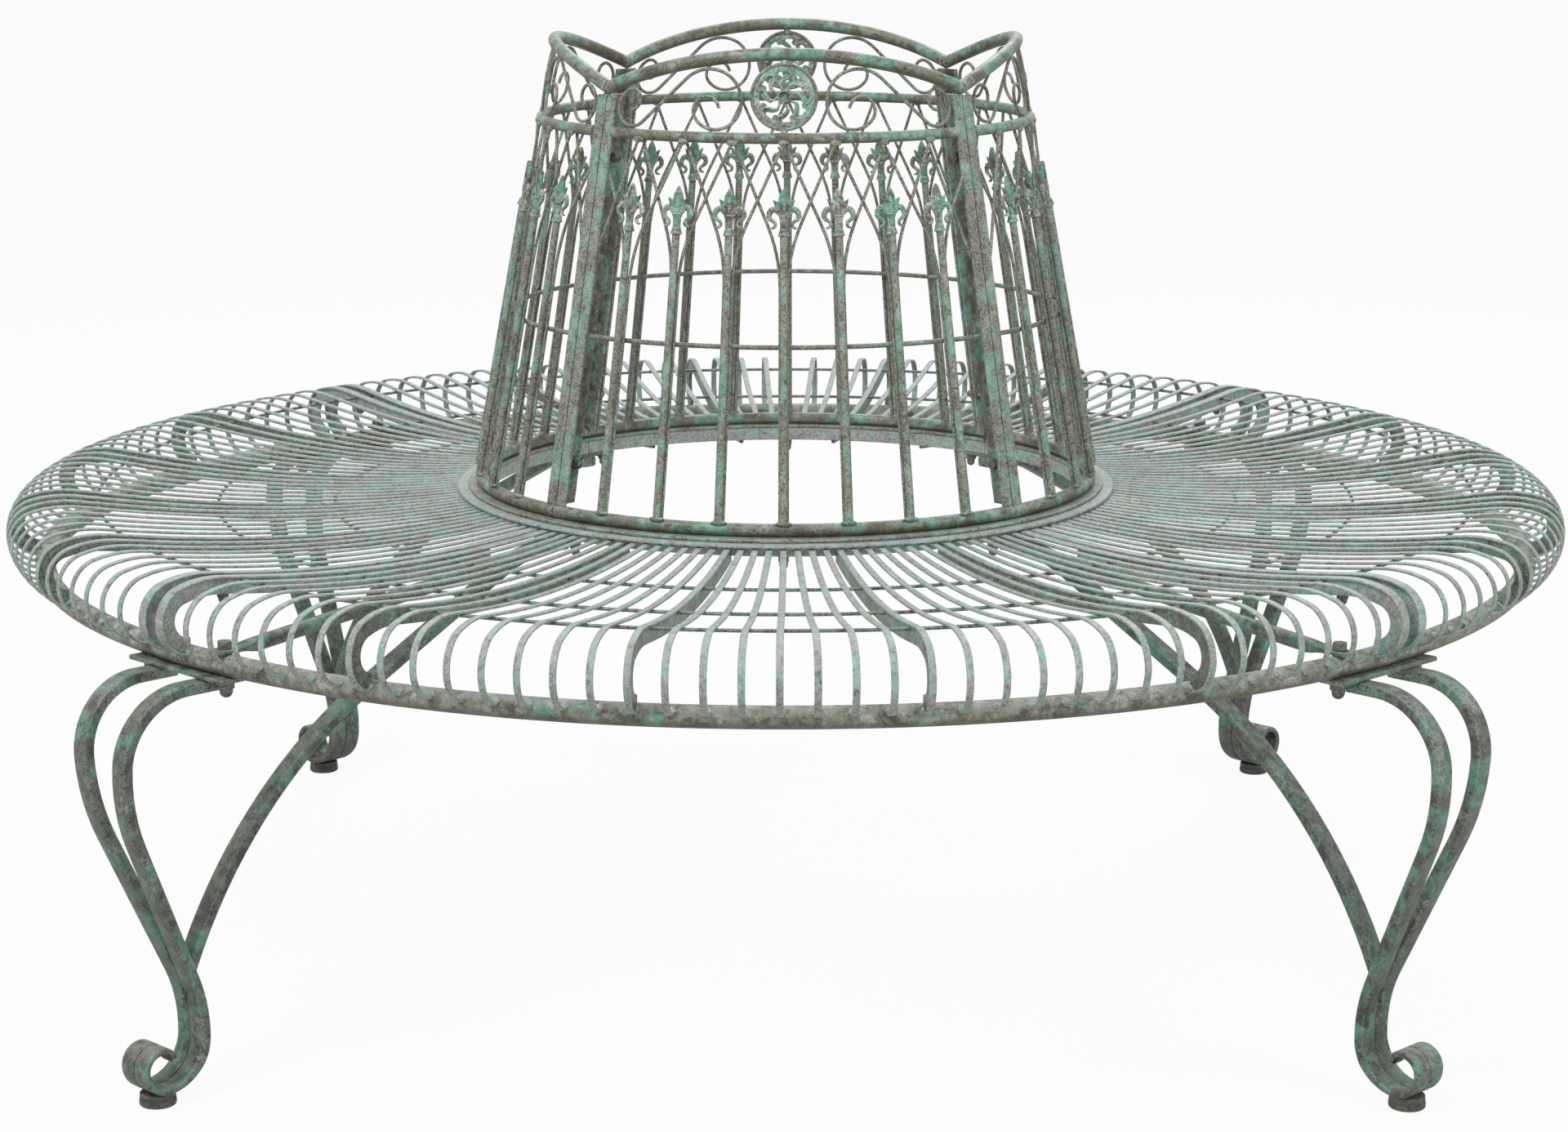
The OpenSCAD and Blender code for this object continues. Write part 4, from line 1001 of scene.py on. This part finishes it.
def rosettes():
    shape = Shape()
    ring_wire_r = (rosette_d - rosette_wire_d) / 2
    up = (arch_top_z - rosette_z) / cosd(cage_lean) - rail_d / 2 + 0.8
    down = (upper_rail_z - rosette_z) / cosd(cage_lean) + upper_rail_d / 2 - 0.8
    for q in range(4):
        place = at_quarter(q) @ on_cage(0, rosette_z, 0)
        rosette(shape, place @ FACING_OUT)
        shape.turned([(3, ring_wire_r), (3.2, (ring_wire_r + up) / 2), (3, up)], place, 14)
        shape.turned([(3.4, down), (3.2, (down - ring_wire_r) / 2), (3, -ring_wire_r)], place, 14)
    return shape


# Fasteners

def hex_rings(across, z0, z1, edge):
    ring = unit_circle(6) * across / math.sqrt(3)
    inner = ring * (1 - edge / across * 2)
    return [np.c_[p, np.full(6, z)] for p, z in ((inner, z0), (ring, z0 + edge), (ring, z1 - edge), (inner, z1))]


def acorn_nut(shape, place, across, h):
    """Hexagon with a domed cap, seated at Z = 0 and closed at its height."""
    hex_h = h * 0.45
    shape.rings(hex_rings(across, 0, hex_h, across * 0.05), place)
    r = across * 0.43
    neck = h - r
    arc = [(r * cosd(a), neck + r * sind(a)) for a in range(0, 91, 10)]
    shape.turned([(r, hex_h - 0.6)] + arc, place, 20)


def each_bolt():
    """Gives each bolt's place, with Z from nut to head, its kind and how far head and nut are apart."""
    for k in range(4):
        joint = at_joint(k)
        for side in (-1, 1):
            seat = rim_seat(k, side)
            place = joint @ turn(side * rim_bolt_angle) @ move(rim_r, 0, leg_plate_z - weld)
            yield place, "rim", seat - leg_plate_z + weld
        tab_low = slat_z(tab_r) - slat_t / 2 - weld - rib_h
        yield joint @ move(tab_r, 0, tab_low - weld), "tab", 6 + 3 * weld
        for z in POST_BOLTS:
            reach = joint_gap + post_t + weld
            place = joint @ move(cage_r(z) + post_bolt_off, reach, z) @ Matrix.Rotation(math.pi / 2, 4, "X")
            yield place, "post", 2 * reach
    for q in range(4):
        for a in stud_angles():
            z = (ring_z if a == 0 else ring_plate_z) - weld
            yield at_quarter(q) @ turn(a) @ move(stud_r, 0, z), "stud", strip_z - z


NUTS = {
    "rim": (rim_bolt_d, rim_bolt_d * 1.65, rim_nut_h), "stud": (stud_d, stud_d * 1.55, stud_nut_h),
    "post": (post_bolt_d, post_bolt_d * 1.7, post_nut_h), "tab": (tab_bolt_d, tab_bolt_d * 1.6, tab_nut_h),
}
HEADS = {"rim": (rim_bolt_d * 1.6, rim_head_h), "post": (post_bolt_d * 1.9, 3.5), "tab": (tab_bolt_d * 1.6, 3.5)}


def nuts():
    shape = Shape()
    for place, kind, _ in each_bolt():
        _, across, h = NUTS[kind]
        acorn_nut(shape, place @ UPSIDE_DOWN, across, h)
    return shape


def bolts():
    shape = Shape()
    for place, kind, grip in each_bolt():
        shank, _, nut_h = NUTS[kind]
        shape.turned([(shank / 2, -nut_h * 0.4), (shank / 2, grip)], place, 14)
        if kind in HEADS:
            across, h = HEADS[kind]
            shape.rings(hex_rings(across * math.sqrt(3) / 2, grip, grip + h, 0.5), place)
    return shape


# Finish: weathered paint with painted shade and painted highlights, as shader nodes

def srgb(r, g, b):
    """Linear colour of an 8-bit display colour."""
    def one(c):
        c = c / 255
        return c / 12.92 if c <= 0.04045 else ((c + 0.055) / 1.055) ** 2.4
    return (one(r), one(g), one(b), 1)


class Nodes:
    """Short ways to add nodes to a material."""
    def __init__(self, material):
        self.tree = material.node_tree
        self.tree.nodes.clear()
        self.place = self.add("ShaderNodeTexCoord").outputs["Object"]

    def add(self, kind, **values):
        node = self.tree.nodes.new(kind)
        for key, value in values.items():
            setattr(node, key, value)
        return node

    def link(self, a, b):
        self.tree.links.new(a, b)

    def noise(self, scale, detail, rough, distortion=0.0, shift=None):
        node = self.add("ShaderNodeTexNoise")
        node.inputs["Scale"].default_value = scale
        node.inputs["Detail"].default_value = detail
        node.inputs["Roughness"].default_value = rough
        node.inputs["Distortion"].default_value = distortion
        if shift is None:
            self.link(self.place, node.inputs["Vector"])
        else:
            mapping = self.add("ShaderNodeMapping")
            mapping.inputs["Location"].default_value = shift
            self.link(self.place, mapping.inputs["Vector"])
            self.link(mapping.outputs[0], node.inputs["Vector"])
        return node.outputs["Fac"]

    def ramp(self, value, low, high, start=0.0, end=1.0):
        node = self.add("ShaderNodeMapRange", interpolation_type="SMOOTHSTEP")
        for key, number in zip(("From Min", "From Max", "To Min", "To Max"), (low, high, start, end)):
            node.inputs[key].default_value = number
        self.link(value, node.inputs["Value"])
        return node.outputs["Result"]

    def mix(self, amount, a, b):
        node = self.add("ShaderNodeMix", data_type="RGBA")
        self.link(amount, node.inputs["Factor"])
        for socket, value in ((node.inputs[6], a), (node.inputs[7], b)):
            if isinstance(value, tuple):
                socket.default_value = value
            else:
                self.link(value, socket)
        return node.outputs[2]

    def math(self, operation, a, b):
        node = self.add("ShaderNodeMath", operation=operation, use_clamp=True)
        for socket, value in zip(node.inputs, (a, b)):
            if isinstance(value, (int, float)):
                socket.default_value = value
            else:
                self.link(value, socket)
        return node.outputs[0]


def weathered_paint_and_painted_light(name, colors, teal_share, brown_share, pale_share, scale, under, roughness):
    """Worn paint: dark and brown ground, verdigris patches, pale edges that are partly rubbed wear and partly painted
    highlight, a painted highlight on upward faces and painted shade that darkens the undersides.
    """
    body, dark, teal, bright, brown, pale = (srgb(*color) for color in colors)
    material = bpy.data.materials.new(name)
    material.use_nodes = True
    n = Nodes(material)
    broad = n.noise(scale * 0.34, 3, 0.6)
    patch = n.noise(scale, 6, 0.66, 0.5, (3.1, 0.7, 1.9))
    blotch = n.noise(scale * 1.35, 6, 0.7, 0.4, (1.3, 5.1, 0.2))
    fleck = n.noise(scale * 3.6, 5, 0.72, 0.3, (7.3, 2.1, 4.4))
    grain = n.noise(520, 3, 0.6)
    speck = n.noise(1100, 2, 0.5, 0, (0.4, 0.9, 2.2))
    color = n.mix(n.ramp(fleck, 0.38, 0.6), dark, body)
    mask = n.math("ADD", n.math("MULTIPLY", patch, 0.7), n.math("MULTIPLY", broad, 0.3))
    green = n.mix(n.ramp(fleck, 0.4, 0.62), teal, bright)
    teal_at = 0.66 - 0.26 * teal_share
    color = n.mix(n.math("MULTIPLY", n.ramp(mask, teal_at - 0.02, teal_at + 0.04), 0.9), color, green)
    scrape = n.math("SUBTRACT", 1, n.ramp(blotch, 0.29 + 0.2 * brown_share, 0.37 + 0.2 * brown_share))
    color = n.mix(n.math("MULTIPLY", scrape, 0.8), color, brown)
    worn = n.ramp(blotch, 0.62 - 0.16 * pale_share, 0.68 - 0.12 * pale_share)
    rubbed = n.math("MULTIPLY", worn, n.ramp(grain, 0.36, 0.56))
    color = n.mix(n.math("MULTIPLY", rubbed, 0.3 + 0.5 * pale_share), color, pale)
    color = n.mix(n.math("MULTIPLY", n.ramp(speck, 0.58, 0.68), 0.35), color, dark)
    geometry = n.add("ShaderNodeNewGeometry")
    split = n.add("ShaderNodeSeparateXYZ")
    n.link(geometry.outputs["Normal"], split.inputs[0])
    # Painted shade: faces turned downward are mixed towards brown, as much as the under amount says
    below = n.ramp(split.outputs["Z"], 0.1, -0.8)
    color = n.mix(n.math("MULTIPLY", below, under), color, brown)
    # Painted highlight: faces turned upward are mixed towards pale, broken up by fine noise
    above = n.math("MULTIPLY", n.ramp(split.outputs["Z"], 0.35, 0.95), n.ramp(fleck, 0.3, 0.55))
    color = n.mix(n.math("MULTIPLY", above, 0.3), color, pale)
    # Pale on sharp convex edges, found by pointiness: partly edge wear, partly painted highlight
    edge = n.math("MULTIPLY", n.ramp(geometry.outputs["Pointiness"], 0.51, 0.56), n.ramp(grain, 0.4, 0.58))
    color = n.mix(n.math("MULTIPLY", edge, 0.5), color, pale)
    shader = n.add("ShaderNodeBsdfPrincipled")
    out = n.add("ShaderNodeOutputMaterial")
    n.link(color, shader.inputs["Base Color"])
    n.link(n.ramp(grain, 0.3, 0.7, roughness - 0.1, roughness + 0.14), shader.inputs["Roughness"])
    shader.inputs["Metallic"].default_value = 0.0
    shader.inputs["Specular IOR Level"].default_value = 0.5
    bump = n.add("ShaderNodeBump")
    bump.inputs["Strength"].default_value = 0.5
    bump.inputs["Distance"].default_value = 0.0007
    height = n.math("ADD", n.math("MULTIPLY", grain, 0.45), n.math("MULTIPLY", fleck, 0.55))
    n.link(height, bump.inputs["Height"])
    n.link(bump.outputs[0], shader.inputs["Normal"])
    n.link(shader.outputs[0], out.inputs["Surface"])
    return material


TEAL = (80, 134, 114)
BRIGHT = (118, 174, 153)
BROWN = (72, 61, 42)
PALE = (186, 188, 180)

# Colours of body, dark, teal, bright, brown and pale, shares of teal, brown and pale, scale, underside painted shade
# and roughness
PAINTS = {
    "seat_paint": ([(152, 158, 153), (118, 120, 114), (106, 156, 144), (138, 186, 175), (84, 78, 70),
                    (196, 198, 195)], 0.58, 0.24, 0.5, 52, 0.7, 0.5),
    "rim_paint": ([(144, 147, 135), (104, 104, 88), (90, 134, 114), (122, 164, 144), (64, 53, 34),
                   (200, 202, 196)], 0.44, 0.5, 0.6, 28, 0.75, 0.5),
    "cage_paint": ([(118, 120, 107), (80, 75, 58), TEAL, BRIGHT, BROWN, PALE], 0.62, 0.52, 0.45, 32, 0.75, 0.42),
    "wire_paint": ([(114, 115, 102), (78, 74, 59), TEAL, BRIGHT, BROWN, PALE], 0.4, 0.5, 0.45, 44, 0.7, 0.42),
    "frame_paint": ([(94, 101, 92), (52, 54, 46), (64, 110, 92), (92, 146, 124), (36, 31, 22),
                     (166, 170, 160)], 0.62, 0.46, 0.42, 32, 0.75, 0.42),
    "cast_ornament": ([(128, 130, 119), (80, 79, 67), (78, 138, 116), (110, 174, 152), (68, 59, 45),
                       (208, 209, 204)], 0.66, 0.42, 0.6, 52, 0.7, 0.5),
    "foot_metal": ([(80, 83, 75), (48, 46, 38), (64, 100, 85), (88, 126, 109), (42, 37, 28),
                    (140, 142, 134)], 0.3, 0.45, 0.3, 50, 0.7, 0.5),
    "fastener_metal": ([(92, 94, 84), (58, 56, 46), TEAL, BRIGHT, (48, 42, 31), (150, 150, 142)],
                       0.35, 0.42, 0.35, 80, 0.7, 0.5),
}

# Pieces whose paint is another than that of their slot
FINISHES = {
    "seat_rim": "rim_paint", "back_lattice": "wire_paint", "back_scrolls": "wire_paint", "back_hoops": "wire_paint",
    "rosette_rings": "wire_paint",
}


SHARP_ANGLE = 38


def make(name, shape, slot, *nodes):
    """Turns a shape into a piece that stands for its nodes."""
    finish = next((value for key, value in FINISHES.items() if name.startswith(key)), slot)
    mesh = bpy.data.meshes.new(name)
    # A few points lie outside the solids' box, by less than 0.1 mm, and are drawn in to it
    points = np.clip(np.vstack(shape.points) * MM, cad_box[0], cad_box[1])
    mesh.from_pydata(points.tolist(), [], shape.faces)
    mesh.update()
    mesh.shade_smooth()
    mesh.set_sharp_from_angle(angle=math.radians(SHARP_ANGLE))
    mesh.materials.append(materials[finish])
    piece = bpy.data.objects.new(name, mesh)
    bpy.context.collection.objects.link(piece)
    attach(piece, "root")
    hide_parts(*nodes)


materials = {name: weathered_paint_and_painted_light(name, *paint) for name, paint in PAINTS.items()}

PER_QUARTER = {
    "seat_rim": (seat_rim, "seat_paint"), "seat_ring": (seat_ring, "seat_paint"),
    "seat_slats": (slats, "seat_paint"), "seat_ribs": (ribs, "frame_paint"),
    "seat_end_ribs": (end_strips, "seat_paint"), "back_posts": (back_posts, "cage_paint"),
    "back_rails": (back_rails, "cage_paint"), "back_uprights": (back_uprights, "cage_paint"),
    "back_lattice": (back_lattice, "cage_paint"), "back_scrolls": (back_scrolls, "cage_paint"),
    "back_finials": (back_finials, "cast_ornament"),
}
SINGLE = {
    "seat_hoops": (seat_hoops, "frame_paint"), "back_hoops": (back_hoops, "cage_paint"),
    "rosettes": (rosettes, "cast_ornament"), "leg_braces": (leg_braces, "frame_paint"),
    "seat_ties": (seat_ties, "frame_paint"), "leg_plates": (leg_plates, "frame_paint"),
    "ring_plates": (ring_plates, "frame_paint"), "foot_pads": (foot_pads, "foot_metal"),
    "seat_tabs": (seat_tabs, "frame_paint"), "bolts": (bolts, "fastener_metal"), "nuts": (nuts, "fastener_metal"),
}
for q, side in enumerate(QUARTERS):
    for base, (build, slot) in PER_QUARTER.items():
        make(f"{base}_{side}_look", build(q), slot, f"{base}_{side}")
    make(f"leg_{LEGS[q]}_look", leg(q), "frame_paint", f"leg_{LEGS[q]}")
for base, (build, slot) in SINGLE.items():
    make(f"{base}_look", build(), slot, base)
make("rosette_rings_look", rosette_rings(), "cast_ornament", "rosettes")


# Floor, light and camera

def white_floor():
    """Plain floor that is nearly white to the camera and still takes a soft shadow."""
    material = bpy.data.materials.new("floor_white")
    material.use_nodes = True
    n = Nodes(material)
    shader = n.add("ShaderNodeBsdfPrincipled")
    shader.inputs["Base Color"].default_value = (0.9, 0.9, 0.9, 1)
    shader.inputs["Roughness"].default_value = 0.9
    shader.inputs["Specular IOR Level"].default_value = 0.0
    glow = n.add("ShaderNodeEmission")
    glow.inputs["Color"].default_value = (1, 1, 1, 1)
    glow.inputs["Strength"].default_value = 1.0
    rays = n.add("ShaderNodeLightPath")
    seen = n.math("MULTIPLY", rays.outputs["Is Camera Ray"], 0.93)
    both = n.add("ShaderNodeMixShader")
    n.link(seen, both.inputs[0])
    n.link(shader.outputs[0], both.inputs[1])
    n.link(glow.outputs[0], both.inputs[2])
    out = n.add("ShaderNodeOutputMaterial")
    n.link(both.outputs[0], out.inputs["Surface"])
    return material


def make_floor():
    size = 60
    mesh = bpy.data.meshes.new("floor")
    mesh.from_pydata([(-size, -size, 0), (size, -size, 0), (size, size, 0), (-size, size, 0)], [], [(0, 1, 2, 3)])
    floor = bpy.data.objects.new("floor", mesh)
    bpy.context.collection.objects.link(floor)
    mesh.materials.append(white_floor())


def make_world():
    world = bpy.data.worlds.new("studio")
    world.use_nodes = True
    bpy.context.scene.world = world
    tree = world.node_tree
    tree.nodes.clear()
    path = tree.nodes.new("ShaderNodeLightPath")
    seen = path.outputs["Is Camera Ray"]
    for ray in ("Is Glossy Ray", "Is Transmission Ray"):
        either = tree.nodes.new("ShaderNodeMath")
        either.operation = "MAXIMUM"
        tree.links.new(seen, either.inputs[0])
        tree.links.new(path.outputs[ray], either.inputs[1])
        seen = either.outputs[0]
    soft = tree.nodes.new("ShaderNodeBackground")
    soft.inputs["Color"].default_value = (1, 1, 1, 1)
    soft.inputs["Strength"].default_value = 0.5
    white = tree.nodes.new("ShaderNodeBackground")
    white.inputs["Color"].default_value = (1, 1, 1, 1)
    white.inputs["Strength"].default_value = 1.0
    mix = tree.nodes.new("ShaderNodeMixShader")
    out = tree.nodes.new("ShaderNodeOutputWorld")
    tree.links.new(seen, mix.inputs[0])
    tree.links.new(soft.outputs[0], mix.inputs[1])
    tree.links.new(white.outputs[0], mix.inputs[2])
    tree.links.new(mix.outputs[0], out.inputs[0])


def make_light(name, place, size, power):
    data = bpy.data.lights.new(name, "AREA")
    data.shape = "DISK"
    data.size = size
    data.energy = power
    light = bpy.data.objects.new(name, data)
    light.location = place
    light.rotation_euler = (Vector((0, 0, 0.4)) - Vector(place)).to_track_quat("-Z", "Y").to_euler()
    bpy.context.collection.objects.link(light)


def make_camera():
    """Camera as fitted to the photograph."""
    image_w = 1920
    image_h = 1386
    focal_px = 4352
    centre_px = (962, 693)
    distance = 3.4185
    height = 1.0968
    pitch = 12.205
    orbit = 0.35
    data = bpy.data.cameras.new("camera")
    data.sensor_fit = "HORIZONTAL"
    data.sensor_width = 36
    data.lens = focal_px / image_w * data.sensor_width
    data.shift_x = (image_w / 2 - centre_px[0]) / image_w
    data.shift_y = (centre_px[1] - image_h / 2) / image_w
    data.clip_end = 200
    camera = bpy.data.objects.new("camera", data)
    camera.location = (distance * sind(orbit), -distance * cosd(orbit), height)
    camera.rotation_euler = (math.radians(90 - pitch), 0, math.radians(orbit))
    bpy.context.collection.objects.link(camera)
    bpy.context.scene.camera = camera


make_floor()
make_world()
make_light("key", (-1.8, -2.8, 4.4), 1.8, 112)
make_light("fill", (3.2, -2.4, 2.6), 2.2, 36)
make_light("back", (0.5, 3.2, 3.6), 2.2, 50)
make_camera()
bpy.context.scene.view_settings.view_transform = "Standard"
